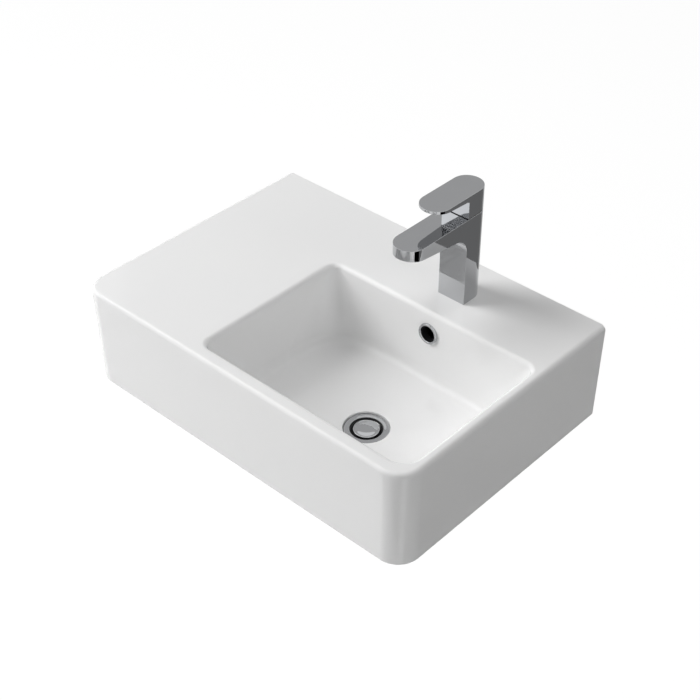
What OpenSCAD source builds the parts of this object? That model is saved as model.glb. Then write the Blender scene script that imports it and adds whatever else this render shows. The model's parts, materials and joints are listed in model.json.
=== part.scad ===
// Wall-hung basin with a shelf on the left, a bowl on the right and a single-lever mixer tap.
// Origin: middle of the two wall bolts on the back face. +X right, +Y to the wall, +Z up.

/* [Basin] */
// Width of the basin along the wall
basin_w = 600; // [580:1:660]
// Depth of the basin, wall to front
basin_d = 420; // [415:1:460]
// Height of the basin
basin_h = 160; // [158:1:180]
// Plan radius of the two front corners
front_corner_r = 35; // [20:1:50]
// Plan radius of the two corners at the wall
wall_corner_r = 1.5; // [1:0.5:4]
// How far the skirt leans in at its foot
skirt_draft = 2.5; // [0:0.5:5]
// Roll of the front and left top edges
edge_roll_r = 6; // [3:0.5:8]
// Roll of the right top edge, beside the bowl
right_roll_r = 8; // [4:0.5:9]
// Roll of the skirt's bottom edge
foot_roll_r = 5; // [2:0.5:6]
// Thickness of the deck
deck_t = 14; // [12:0.5:18]
// Thickness of the front and side skirts
skirt_t = 11; // [9:0.5:14]
// Thickness of the wall face
back_t = 16; // [12:0.5:20]

/* [Bowl] */
// Width of the bowl opening
bowl_w = 372; // [360:1:380]
// Deck between the bowl and the wall
back_deck = 131; // [129:1:141]
// Rim between the bowl and the right face
right_rim = 10; // [10:0.5:16]
// Rim between the bowl and the front face
front_rim = 17; // [15:0.5:19]
// Depth of the bowl at the foot of its walls
bowl_depth = 112; // [106:1:114]
// Fall of the floor from the walls to the waste
floor_fall = 13; // [11:0.5:14]
// Lean of the bowl walls, in degrees
wall_lean = 3; // [2:0.5:5]
// Roll of the bowl's top edge
rim_roll_r = 7; // [5:0.5:8]
// Fillet at the foot of the walls
foot_r = 14; // [10:1:18]
// Plan radius of the bowl corners
bowl_corner_r = 22; // [18:1:26]
// Plan radius of the bowl corner next to the front right corner
bowl_front_r = 34; // [24:1:36]
// Reach of the bowl corners along each side, at the foot of the walls
floor_corner_r = 95; // [80:1:104]
// Weight of those corners: how tight their middle is
floor_corner_weight = 1.4; // [0.8:0.1:1.8]
// Thickness of the bowl walls and floor
bowl_t = 11; // [9:0.5:13]

/* [Wall fixing] */
// Distance between the wall bolts
bolt_spacing = 280; // [200:5:280]
// Drop from the deck to the wall bolts
bolt_drop = 95; // [70:1:105]
// Bore of the bushes, for an M10 hanger bolt
bolt_bore_r = 5.3; // [4.3:0.1:6.5]
// Barrel radius of the bushes
bush_r = 11; // [9:0.5:14]
// Flange radius of the bushes
bush_flange_r = 17; // [15:0.5:20]
// Flange thickness of the bushes
bush_flange_t = 3; // [2:0.5:5]

/* [Overflow] */
// Drop from the deck to the middle of the overflow
overflow_drop = 35; // [32:0.5:40]
// Radius of the overflow hole in the ceramic
overflow_hole_r = 13.5; // [13:0.5:14.5]
// Outer radius of the trim ring
ring_r = 16; // [15.5:0.25:18]
// Bore of the trim ring
ring_bore_r = 12; // [9:0.25:12.25]
// Thickness of the trim ring's lip
ring_lip_t = 3.5; // [2:0.1:4.5]
// Length of the trim ring's barrel
ring_barrel = 8; // [5:0.5:9]
// Chamfer of the trim ring's lip
ring_edge = 0.8; // [0.4:0.1:1.2]
// Width of the overflow passage
passage_w = 34; // [30:1:44]
// Front to back gap of the overflow passage
passage_gap = 12; // [10:0.5:14]
// Wall around the overflow passage
passage_t = 8; // [6:0.5:10]
// Height of the passage where it runs under the floor
passage_h = 10; // [8:0.5:10]

/* [Waste] */
// Radius of the waste hole in the ceramic
waste_hole_r = 23; // [22.5:0.5:25]
// Depth of the flange below the lowest edge of the floor
flange_sink = 2.5; // [2:0.25:3]
// Outer radius of the waste flange
flange_r = 32.25; // [31:0.25:35]
// Thickness of the waste flange
flange_t = 3; // [2:0.5:4]
// Mouth of the waste flange
mouth_r = 24; // [22.5:0.25:25]
// Depth of the mouth
mouth_h = 6; // [5:0.5:7]
// Bore that the plug closes
seat_r = 19.2; // [19.2:0.1:19.5]
// Height of that bore
seat_h = 6; // [5:0.5:6]
// Outer radius of the tail, a 1 1/4 inch pipe thread
tail_r = 20.95; // [20.95:0.05:21.5]
// Bore of the tail
tail_bore_r = 17.5; // [16:0.25:18.5]
// Length of the waste below the flange
tail_len = 78; // [70:1:100]
// Height of the relief groove below the waste nut
relief_h = 2; // [1:0.5:3]
// Height of the overflow windows in the tail
window_h = 8; // [6:0.5:8]
// Width of the overflow windows in the tail
window_w = 22; // [16:1:24]
// Radius of the ceramic boss around the waste hole
boss_r = 38; // [36:0.5:44]
// Drop from the deck to the underside of that boss
boss_drop = 156; // [155:0.5:157]
// Thickness of the rubber seal under the flange
top_seal_t = 1.5; // [1:0.25:2]
// Thickness of the seal below the boss
bottom_seal_t = 6; // [4:0.5:8]
// Thickness of the sliding washer
waste_washer_t = 2; // [1.5:0.5:3]
// Height of the waste nut
waste_nut_h = 12; // [10:0.5:16]
// Width of the waste nut across its flats
waste_nut_af = 54; // [52:1:60]

/* [Plug] */
// Radius of the plug's cap
cap_r = 18.7; // [17:0.1:18.9]
// Thickness of the cap at its edge
cap_t = 3.5; // [3:0.25:4]
// Rise of the cap's dome
cap_dome = 1.2; // [0.8:0.1:2]
// Radius of the plug's neck
plug_neck_r = 10; // [8:0.5:12]
// Thickness of the plug's seal
plug_seal_t = 2.5; // [2:0.25:3]
// Radius of the plug's stem
stem_r = 2.5; // [2:0.1:3]
// Length of the plug's stem
stem_len = 36; // [34:1:40]
// Radius of the stem's collar
collar_r = 4; // [3.8:0.1:4.2]
// Outer radius of the latch housing
latch_r = 6.8; // [6.5:0.1:8]
// Depth of the latch housing's top below the flange
latch_drop = 22; // [21:0.5:24]
// Length of the latch housing
latch_len = 30; // [30:1:34]
// Wall of the latch housing
latch_t = 2.4; // [2:0.1:2.4]
// Wire radius of the plug's spring
spring_wire_r = 0.45; // [0.35:0.05:0.5]

/* [Tap] */
// Width of the tap
tap_w = 45.5; // [43:0.5:48]
// Distance of the tap's axis from the wall
tap_back = 70.5; // [66:0.5:76]
// Distance from the tap's axis to the flat front of the column
column_front = 23; // [22:0.5:26]
// Height of the tap's body above the deck
body_h = 139; // [138:0.5:150]
// Distance from the tap's axis to the tip of the spout
spout_reach = 137.5; // [125:0.5:150]
// Thickness of the spout at its tip
spout_tip_t = 15.5; // [15:0.5:18]
// Thickness of the spout where it leaves the column
spout_root_t = 29; // [28:0.5:31]
// Fillet between the column and the spout
spout_fillet_r = 26; // [20:1:28]
// Radius of the tap hole in the deck
tap_hole_r = 17.5; // [17.5:0.5:18]
// Wall of the hollow column
column_t = 3.6; // [3:0.2:4.4]
// Height of the hollow in the column
column_hollow_h = 84; // [70:1:84]

/* [Lever] */
// Height of the lever's top above the deck
lever_top = 175.5; // [175:0.5:182]
// Gap between the lever and the tap's body
lever_gap = 1; // [0.8:0.1:1.4]
// Distance from the tap's axis to the lever's tip
lever_reach = 87; // [80:0.5:96]
// Thickness of the lever at its tip
lever_tip_t = 3.7; // [3:0.1:5]
// Thickness of the lever where it leaves its block
lever_root_t = 8; // [6:0.5:9]
// Height of the lift axis above the joint
lift_rise = 12; // [11.5:0.5:13]
// Radius of the hollow in the lever's block
lever_hollow_r = 19.5; // [19.3:0.1:19.7]
// Depth of the hollow in the lever's block
lever_hollow_h = 22; // [22:0.25:23]
// Lean of the spindle when the lever is down, in degrees
spindle_lean = 12.5; // [12:0.5:13]

/* [Cartridge] */
// Height of the cartridge's seat above the deck
seat_z = 104; // [103:0.5:105]
// Radius of the cartridge
cartridge_r = 17.5; // [17.4:0.05:17.6]
// Thickness of the cartridge's base
base_t = 5; // [4.5:0.5:5.5]
// Thickness of each ceramic disc
disc_t = 4; // [3.5:0.25:4]
// Radius of the fixed disc
fixed_disc_r = 15.3; // [15:0.1:15.4]
// Radius of the sliding disc
slide_disc_r = 12.3; // [12:0.1:12.3]
// Thickness of the plates above the discs
plate_t = 2; // [1.8:0.1:2.2]
// Thickness of the housing's shoulder
shoulder_t = 3; // [2.5:0.25:3.5]
// Outer radius of the housing's neck
neck_r = 12; // [11.8:0.1:12.2]
// Wall of the housing's neck
neck_t = 1.5; // [1.3:0.1:1.6]
// Height of the cartridge nut
cartridge_nut_h = 7; // [5:0.5:7]
// Radius of the thread for the cartridge nut
cartridge_nut_r = 19; // [18.5:0.1:19.2]
// Radius of the cross pin
cross_pin_r = 1.5; // [1.2:0.1:1.6]
// Arm of the spindle below the cross pin
spindle_arm = 14; // [13.5:0.25:14]
// Width of the spindle
spindle_w = 8; // [7:0.5:8]
// Radius of the spindle's foot
spindle_foot_r = 2.4; // [2.2:0.1:2.4]

/* [Deck fixing] */
// Radius of the fixing stud
stud_r = 4; // [3:0.5:4]
// Distance of the stud behind the tap's axis
stud_y = 11; // [10:0.5:11]
// Length of the stud below the deck
stud_drop = 56; // [45:1:70]
// Grip of the stud in the tap's body
stud_grip = 20; // [14:1:30]
// Outer radius of the clamp plates
clamp_r = 24; // [23:0.5:25]
// Thickness of each clamp plate
clamp_t = 3; // [2:0.5:4]
// Height of the stud's nut
stud_nut_h = 14; // [8:1:20]
// Radius of the hose inlets, for an M10 x 1 thread
inlet_r = 4.5; // [4.3:0.1:4.7]
// Half the distance between the hose inlets
inlet_x = 8.5; // [8.5:0.1:8.8]
// Distance of the inlets in front of the tap's axis
inlet_y = 6; // [5.5:0.1:6.2]

/* [Hidden] */
// Running clearance between parts that move on each other
run = 0.2;
// Clearance around parts that are assembled by hand
ease = 0.3;
// Overlap that makes cuts clean
cut = 1;
// Segments of the round solids and of the loft corners
facets = 64;
arc_steps = 6;
side_steps = 6;

// Heights, measured from the wall bolts
deck_z = bolt_drop;
foot_z = deck_z - basin_h;
seat_floor_z = deck_z + seat_z;
joint_z = deck_z + body_h;
lever_foot_z = joint_z + lever_gap;
lever_top_z = deck_z + lever_top;
lift_z = lever_foot_z + lift_rise;

// Plan of the basin
left_x = -basin_w / 2;
right_x = basin_w / 2;
front_y = -basin_d;
bowl_x1 = right_x - right_rim;
bowl_x0 = bowl_x1 - bowl_w;
services_x = (bowl_x0 + bowl_x1) / 2;
bowl_y0 = front_y + front_rim;
bowl_y1 = -back_deck;

// Waste levels: the flange sits in a recess of the floor, on its seal
waste_y = (bowl_y0 + bowl_y1) / 2;
floor_drop = bowl_depth + floor_fall;
flange_z = deck_z - floor_drop - flange_sink;
recess_z = flange_z - flange_t - top_seal_t;
recess_r = flange_r + 0.75;
boss_z = deck_z - boss_drop;
waste_nut_z = boss_z - bottom_seal_t - waste_washer_t - waste_nut_h;
relief_z = waste_nut_z - 1.5;
window_z = flange_z - mouth_h - seat_h - window_h;
passage_z = window_z - cut;
window_turn = 90;

// Foot of the bowl walls: a fillet that is tangent to the leaning wall and to the level floor
foot_start = bowl_depth - foot_r * (1 - sin(wall_lean));
foot_centre_in = wall_in(foot_start) + foot_r * cos(wall_lean);
floor_in = foot_centre_in;

// Tap
tap_y = -tap_back;
tap_r = tap_w / 2;
tip_y = tap_y - spout_reach;
column_y = tap_y - column_front;
lever_tip_y = tap_y - lever_reach;
lever_bevel = 1;
socket_r = norm([tap_r, lift_rise - lever_bevel]) + ease;
cartridge_bore_r = cartridge_r + 0.1;
fixed_disc_z = seat_floor_z + base_t;
slide_disc_z = fixed_disc_z + disc_t;
slider_z = slide_disc_z + disc_t;
carrier_z = slider_z + plate_t + 0.1;
shoulder_z = carrier_z + plate_t + 0.1;
neck_z = shoulder_z + shoulder_t;
neck_top_z = lift_z + 3;
neck_bore_r = neck_r - neck_t;
carrier_r = neck_bore_r - run;
housing_bore_r = fixed_disc_r + run;
slide_offset = spindle_arm * sin(spindle_lean);
foot_pin_z = lift_z - spindle_arm * cos(spindle_lean);
slider_post_z = foot_pin_z + spindle_foot_r * 0.7;
slider_half_y = 4.4;
slider_half_x = 5;
spindle_top = 17.6;
port_r = 3;
outlet_r = 3.5;
outlet_y = 6;
waterway_r = 3.5;

// Aerator, in the round tip of the spout
aerator_y = tip_y + tap_r;
aerator_r = 11;
aerator_top_z = joint_z - 10;
spout_way_z = joint_z - 6.5;
aerator_foot_z = joint_z - spout_tip_t - 0.8;
aerator_lip = 2;
insert_r = 8.6;
insert_h = 7;
insert_neck_r = 6.6;

// Plug travel and spring
plug_travel = 8;
spring_turns = 7;
spring_foot_z = flange_z - latch_drop - latch_len + latch_t;
spring_head_z = flange_z - stem_len;

// How far the bowl wall stands in from the rim, at a depth below the deck
function wall_in(depth) = rim_roll_r + (depth - rim_roll_r) * tan(wall_lean);

// How far a rolled edge stands in from its face, at a depth below the top of the roll
function roll_in(r, depth) = depth < r ? r - sqrt(r * r - (r - depth) * (r - depth)) : 0;

// Points of one corner curve, then of the straight side that follows it up to the next corner.
// The curve reaches r along both sides. Its weight is cos(45) for an arc, and more for a tighter middle.
function corner(p, r, a, weight) =
    [for (i = [0 : arc_steps])
        let (t = i / arc_steps, k = [(1 - t) * (1 - t), 2 * weight * t * (1 - t), t * t])
        p - r * (k[0] * [cos(a + 90), sin(a + 90)] + k[2] * [cos(a), sin(a)]) / (k[0] + k[1] + k[2])];
function side(p, q) = [for (i = [1 : side_steps - 1]) p + (q - p) * i / side_steps];

// Rounded rectangle, anticlockwise from the front left corner, radii in that order
function outline(x0, x1, y0, y1, r, weight = cos(45)) =
    let (
        a = corner([x0, y0], r[0], 180, weight),
        b = corner([x1, y0], r[1], 270, weight),
        c = corner([x1, y1], r[2], 0, weight),
        d = corner([x0, y1], r[3], 90, weight)
    )
    concat(
        a, side(a[arc_steps], b[0]), b, side(b[arc_steps], c[0]),
        c, side(c[arc_steps], d[0]), d, side(d[arc_steps], a[0])
    );

// Circle with as many points as an outline, matched to its corners
function ring_outline(c, r) =
    let (quarter = arc_steps + side_steps)
    [for (i = [0 : 4 * quarter - 1])
        c + r * [cos(225 + (i - arc_steps / 2) * 90 / quarter),
                 sin(225 + (i - arc_steps / 2) * 90 / quarter)]];

function mix(a, b, t) = [for (i = [0 : len(a) - 1]) a[i] * (1 - t) + b[i] * t];
function at_height(points, z) = [for (p = points) [p[0], p[1], z]];

// Solid through a stack of outlines, lowest first, closed by a fan at each end
function middle(points) = [for (k = [0 : 2]) let (v = [for (p = points) p[k]]) (min(v) + max(v)) / 2];

module loft(rings) {
    n = len(rings[0]);
    last = len(rings) - 1;
    foot = n * len(rings);
    sides = [
        for (k = [0 : last - 1], i = [0 : n - 1])
            let (a = k * n + i, b = k * n + (i + 1) % n)
            each [[a, a + n, b + n], [a, b + n, b]]
    ];
    ends = [
        for (i = [0 : n - 1])
            let (j = (i + 1) % n)
            each [[foot, i, j], [foot + 1, last * n + j, last * n + i]]
    ];
    polyhedron(
        concat([for (r = rings) each r], [middle(rings[0]), middle(rings[last])]),
        concat(sides, ends)
    );
}

// Outline of the basin at a depth below the deck
function skin_ring(depth) =
    let (
        lean = skirt_draft * depth / basin_h,
        under = roll_in(foot_roll_r, basin_h - depth),
        soft = lean + under + roll_in(edge_roll_r, depth),
        side_in = lean + under + roll_in(right_roll_r, depth)
    )
    at_height(
        outline(left_x + soft, right_x - side_in, front_y + soft, 0,
                [front_corner_r, front_corner_r, wall_corner_r, wall_corner_r]),
        deck_z - depth
    );

module basin_skin() {
    top = [for (a = [90 : -18 : 0]) right_roll_r * (1 - sin(a))];
    foot = [for (a = [0 : 22.5 : 90]) basin_h - foot_roll_r * (1 - sin(a))];
    depths = concat([for (i = [4 : -1 : 0]) foot[i]], [for (i = [5 : -1 : 0]) top[i]]);
    loft([for (d = depths) skin_ring(d)]);
}

// Outline of the bowl, set in from its rim: its corners sharpen over the roll, then open towards the foot.
// The outside of its walls, where it grows, merges with the front and right skirts.
function bowl_ring(inset, depth, grow = 0) =
    let (
        t = max(0, min(1, (inset - rim_roll_r) / (wall_in(foot_start) - rim_roll_r))),
        rolled = max(0, min(inset, rim_roll_r)),
        r = (bowl_corner_r - rolled) * (1 - t) + floor_corner_r * t + grow,
        rf = (bowl_front_r - rolled) * (1 - t) + floor_corner_r * t + grow,
        x1 = bowl_x1 - inset + grow,
        y0 = bowl_y0 + inset - grow
    )
    at_height(
        outline(bowl_x0 + inset - grow, grow > 0 ? max(x1, right_x - skirt_t - skirt_draft + 1) : x1,
                grow > 0 ? min(y0, front_y + skirt_t + skirt_draft - 1) : y0, bowl_y1 - inset + grow,
                [r, rf, r, r], cos(45) * (1 - t) + floor_corner_weight * t),
        deck_z - depth
    );

// Floor of the bowl: falls from the foot of the walls to the recess of the waste
function floor_ring(t) =
    at_height(
        mix(ring_outline([services_x, waste_y], recess_r + 1), bowl_ring(floor_in, 0), t),
        deck_z - bowl_depth - floor_fall * (1 - t) * (1 - t * 0.35)
    );

module bowl_space() {
    floor_steps = [0, 0.2, 0.45, 0.72];
    fillet = [for (i = [0 : 6])
        let (a = 90 - (90 - wall_lean) * i / 6)
        bowl_ring(foot_centre_in - foot_r * cos(a), bowl_depth - foot_r * (1 - sin(a)))];
    roll = [for (a = [0 : 18 : 90])
        bowl_ring(rim_roll_r * cos(a), rim_roll_r * (1 - sin(a)))];
    loft(concat([for (t = floor_steps) floor_ring(t)], fillet, roll, [bowl_ring(0, -cut)]));
}

// The same bowl, a wall thicker, down from the deck
module bowl_shell() {
    fillet = [for (i = [0 : 3])
        let (a = 90 - (90 - wall_lean) * i / 3)
        bowl_ring(foot_centre_in - foot_r * cos(a),
                  bowl_depth - foot_r + (foot_r + bowl_t) * sin(a), bowl_t * cos(a))];
    loft(concat(
        [at_height(ring_outline([services_x, waste_y], boss_r + 2), deck_z - floor_drop - bowl_t)],
        fillet,
        [bowl_ring(rim_roll_r, deck_t / 2, bowl_t)]
    ));
}

// Passage behind the back wall of the bowl and under its floor, as a side profile
function passage_front(depth) = bowl_y1 - wall_in(depth) + bowl_t;
passage_top = overflow_drop - overflow_hole_r - 4;
passage_turn = deck_z - passage_z - passage_h;

module passage(grow) {
    low = grow > 0 ? boss_drop : deck_z - passage_z;
    high = passage_turn - grow;
    ends = waste_y + waste_hole_r / 2 + grow;
    profile = [
        [passage_front(passage_top) - grow, deck_z - passage_top + grow],
        [passage_front(high) - grow, deck_z - high],
        [ends, deck_z - high],
        [ends, deck_z - low],
        [passage_front(low) + passage_gap + grow, deck_z - low],
        [passage_front(passage_top) + passage_gap + grow, deck_z - passage_top + grow]
    ];
    translate([services_x - passage_w / 2 - grow, 0, 0])
        rotate([90, 0, 90])
            linear_extrude(passage_w + 2 * grow)
                polygon(profile);
}

// Places its children on the leaning back wall of the bowl, facing into the bowl along +Z
module on_back_wall() {
    translate([services_x, bowl_y1 - wall_in(overflow_drop), deck_z - overflow_drop])
        rotate([90 - wall_lean, 0, 0])
            children();
}

module at_waste(z) {
    translate([services_x, waste_y, z])
        children();
}

module at_tap(z) {
    translate([services_x, tap_y, z])
        children();
}

module at_bolts() {
    for (s = [-1, 1])
        translate([s * bolt_spacing / 2, 0, 0])
            rotate([90, 0, 0])
                children();
}

module basin_hollow() {
    inner_r = front_corner_r - skirt_t;
    translate([0, 0, foot_z - cut])
        linear_extrude(basin_h - deck_t + cut)
            polygon(outline(left_x + skirt_t + skirt_draft, right_x - skirt_t - skirt_draft,
                            front_y + skirt_t + skirt_draft, -back_t,
                            [inner_r, inner_r, 4, 4]));
}

module basin_body() {
    color("white")
    difference() {
        union() {
            difference() {
                basin_skin();
                basin_hollow();
            }
            bowl_shell();
            passage(passage_t);
            at_waste(boss_z)
                cylinder(r = boss_r, h = deck_z - floor_drop - bowl_t - boss_z + cut, $fn = facets);
        }
        bowl_space();
        passage(0);
        at_waste(recess_z)
            cylinder(r = recess_r, h = flange_t + top_seal_t + flange_sink + cut, $fn = facets);
        at_waste(boss_z - cut)
            cylinder(r = waste_hole_r, h = recess_z - boss_z + 2 * cut, $fn = facets);
        on_back_wall()
            translate([0, 0, -bowl_t - 2])
                cylinder(r = overflow_hole_r, h = bowl_t + 4, $fn = facets);
        at_tap(deck_z - deck_t - cut)
            cylinder(r = tap_hole_r, h = deck_t + 2 * cut, $fn = facets);
        at_bolts()
            translate([0, 0, -cut])
                cylinder(r = bush_r + ease, h = back_t + 2 * cut, $fn = facets);
    }
}

module overflow_ring() {
    color("silver")
    on_back_wall()
        rotate_extrude($fn = facets)
            polygon([
                [ring_bore_r, -ring_barrel],
                [overflow_hole_r - ease, -ring_barrel],
                [overflow_hole_r - ease, 0],
                [ring_r, 0],
                [ring_r, ring_lip_t - ring_edge],
                [ring_r - ring_edge, ring_lip_t],
                [ring_bore_r + ring_edge, ring_lip_t],
                [ring_bore_r, ring_lip_t - ring_edge]
            ]);
}

module wall_bushes() {
    color("gainsboro")
    at_bolts()
        rotate_extrude($fn = facets)
            polygon([
                [bolt_bore_r, 0],
                [bush_r, 0],
                [bush_r, back_t],
                [bush_flange_r, back_t],
                [bush_flange_r, back_t + bush_flange_t],
                [bolt_bore_r, back_t + bush_flange_t]
            ]);
}

// Arms and hub that hold the plug's latch in the middle of the waste
module latch_spider() {
    arm_w = 3;
    hub_r = latch_r + 2.4;
    arm_h = 6;
    translate([0, 0, -latch_drop - 4 - arm_h])
        difference() {
            union() {
                cylinder(r = hub_r, h = arm_h, $fn = facets);
                for (a = [90, 210, 330])
                    rotate([0, 0, a])
                        translate([0, -arm_w / 2, 0])
                            cube([(tail_bore_r + tail_r) / 2, arm_w, arm_h]);
            }
            translate([0, 0, -cut])
                cylinder(r = latch_r + 0.05, h = arm_h + 2 * cut, $fn = facets);
        }
}

module waste_body() {
    wall_top = mouth_h + seat_h;
    relief = relief_z - flange_z;
    relief_r = tail_r - 0.7;
    color("silver")
    at_waste(flange_z)
        difference() {
            union() {
                rotate_extrude($fn = facets)
                    polygon([
                        [seat_r, -wall_top],
                        [tail_bore_r, -wall_top - 2],
                        [tail_bore_r, -tail_len],
                        [tail_r, -tail_len],
                        [tail_r, relief - relief_h],
                        [relief_r, relief - relief_h],
                        [relief_r, relief],
                        [tail_r, relief],
                        [tail_r, -mouth_h - 4],
                        [waste_hole_r - 0.4, -mouth_h - 2],
                        [waste_hole_r - 0.4, -flange_t - 1.2],
                        [mouth_r + 0.6, -flange_t],
                        [flange_r, -flange_t],
                        [flange_r, -0.8],
                        [flange_r - 1.2, 0],
                        [mouth_r + 0.4, 0],
                        [mouth_r, -0.4],
                        [mouth_r - 3, -mouth_h * 0.45],
                        [seat_r, -mouth_h]
                    ]);
                latch_spider();
            }
            for (a = [0, 180])
                rotate([0, 0, window_turn + a])
                    translate([tail_bore_r - 4, -window_w / 2, window_z - flange_z])
                        cube([tail_r, window_w, window_h]);
        }
}

// Flat ring with a rectangular section
module flat_ring(outer, inner, h) {
    difference() {
        cylinder(r = outer, h = h, $fn = facets);
        translate([0, 0, -cut])
            cylinder(r = inner, h = h + 2 * cut, $fn = facets);
    }
}

module waste_top_seal() {
    color("dimgray")
    at_waste(recess_z)
        flat_ring(flange_r - 0.5, mouth_r + 1, top_seal_t);
}

module waste_bottom_seal() {
    color("dimgray")
    at_waste(boss_z - bottom_seal_t)
        rotate_extrude($fn = facets)
            polygon([
                [tail_r, 0],
                [tail_r + 8, 0],
                [tail_r + 8, bottom_seal_t * 0.5],
                [tail_r + 6, bottom_seal_t],
                [tail_r, bottom_seal_t]
            ]);
}

module waste_washer() {
    color("gainsboro")
    at_waste(boss_z - bottom_seal_t - waste_washer_t)
        flat_ring(tail_r + 8, tail_r + 0.1, waste_washer_t);
}

module waste_nut() {
    color("goldenrod")
    at_waste(waste_nut_z)
        difference() {
            cylinder(r = waste_nut_af / sqrt(3), h = waste_nut_h, $fn = 6);
            translate([0, 0, -cut])
                cylinder(r = tail_r, h = waste_nut_h + 2 * cut, $fn = facets);
        }
}

module plug_cap() {
    color("silver")
    at_waste(flange_z)
        rotate_extrude($fn = facets)
            polygon([
                [0, -mouth_h - 0.5],
                [plug_neck_r, -mouth_h - 0.5],
                [plug_neck_r, -cap_t],
                [cap_r - 1, -cap_t],
                [cap_r, -cap_t + 1],
                [cap_r, -0.6],
                [cap_r - 0.6, 0],
                [cap_r * 0.82, 0.1],
                [cap_r * 0.6, cap_dome * 0.7],
                [cap_r * 0.3, cap_dome * 0.95],
                [0, cap_dome]
            ]);
}

module plug_seal() {
    color("dimgray")
    at_waste(flange_z - mouth_h - 0.5 - plug_seal_t)
        flat_ring(seat_r - run, stem_r, plug_seal_t);
}

module plug_stem() {
    color("gainsboro")
    at_waste(flange_z - stem_len)
        rotate_extrude($fn = facets)
            polygon([
                [0, 0],
                [collar_r, 0],
                [collar_r, 3],
                [stem_r, 3.5],
                [stem_r, stem_len - mouth_h - 0.5],
                [0, stem_len - mouth_h - 0.5]
            ]);
}

module plug_latch_housing() {
    inner = latch_r - latch_t;
    color("gainsboro")
    at_waste(flange_z - latch_drop - latch_len)
        rotate_extrude($fn = facets)
            polygon([
                [0, 0],
                [latch_r, 0],
                [latch_r, latch_len - 4],
                [latch_r + 1.4, latch_len - 4],
                [latch_r + 1.4, latch_len],
                [stem_r + run, latch_len],
                [stem_r + run, latch_len - 2],
                [inner, latch_len - 2],
                [inner, latch_t],
                [0, latch_t]
            ]);
}

// Tube of six sides along a helix, with level ends
module coil(radius, wire, height, turns) {
    steps = 12;
    n = steps * turns;
    rise = height - 2 * wire;
    function spot(i) = [radius * cos(360 * i / steps), radius * sin(360 * i / steps), wire + rise * i / n];
    rings = [
        for (i = [0 : n])
            [for (k = [0 : 5])
                spot(i) + wire * [cos(60 * k) * cos(360 * i / steps),
                                  cos(60 * k) * sin(360 * i / steps),
                                  sin(60 * k)]]
    ];
    sides = [
        for (i = [0 : n - 1], k = [0 : 5])
            let (a = i * 6 + k, b = i * 6 + (k + 1) % 6)
            each [[a, b + 6, a + 6], [a, b, b + 6]]
    ];
    start = [[for (k = [5 : -1 : 0]) k]];
    finish = [[for (k = [0 : 5]) n * 6 + k]];
    polyhedron([for (r = rings) each r], concat(start, sides, finish));
}

module plug_spring() {
    color("silver")
    at_waste(spring_foot_z + 0.1)
        coil(latch_r - latch_t - spring_wire_r - ease, spring_wire_r,
             spring_head_z - spring_foot_z - 0.2, spring_turns);
}

// Plan of the tap: straight sides, a round back and a round tip
module tap_plan(reach) {
    translate([services_x, tap_y])
        circle(r = tap_r, $fn = facets);
    translate([services_x, tap_y - reach + tap_r])
        circle(r = tap_r, $fn = facets);
    translate([services_x - tap_r, tap_y - reach + tap_r])
        square([tap_w, reach - tap_r]);
}

// Extrudes a side profile, drawn in Y and Z, over the width of the tap
module tap_side(points) {
    translate([services_x - tap_r - cut, 0, 0])
        rotate([90, 0, 90])
            linear_extrude(tap_w + 2 * cut)
                polygon(points);
}

// Column and spout from the side, with the fillet below the spout
spout_slope = atan((spout_root_t - spout_tip_t) / (spout_reach - column_front));
function spout_foot(y) = joint_z - spout_root_t + (column_y - y) * tan(spout_slope);
fillet_y = column_y - spout_fillet_r;
fillet_z = spout_foot(fillet_y) - spout_fillet_r / cos(spout_slope);

module tap_profile() {
    back = tap_y + tap_r + cut;
    arc = [for (a = [0 : 6 : 90 - spout_slope])
        [fillet_y + spout_fillet_r * cos(a), fillet_z + spout_fillet_r * sin(a)]];
    tap_side(concat(
        [[back, deck_z], [back, joint_z], [tip_y - cut, joint_z], [tip_y - cut, spout_foot(tip_y)]],
        [for (i = [len(arc) - 1 : -1 : 0]) arc[i]],
        [[column_y, deck_z]]
    ));
}

// Round bore between two points of the tap's middle plane
module waterway(from, to) {
    run_y = to[0] - from[0];
    run_z = to[1] - from[1];
    translate([services_x, from[0], from[1]])
        rotate([atan2(run_z, run_y) - 90, 0, 0])
            cylinder(r = waterway_r, h = norm([run_y, run_z]), $fn = 32);
    translate([services_x, to[0], to[1]])
        sphere(r = waterway_r + 0.2, $fn = 32);
}

module column_hollow() {
    inner = tap_r - column_t;
    at_tap(deck_z - cut)
        difference() {
            linear_extrude(column_hollow_h + cut)
                union() {
                    circle(r = inner, $fn = facets);
                    translate([-inner, -column_front + column_t])
                        square([2 * inner, column_front - column_t]);
                }
            translate([0, stud_y, -cut])
                cylinder(r = stud_r + 2.6, h = column_hollow_h + 3 * cut, $fn = 32);
            translate([-stud_r - 2.6, stud_y, -cut])
                cube([2 * stud_r + 5.2, tap_r, column_hollow_h + 3 * cut]);
        }
}

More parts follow.
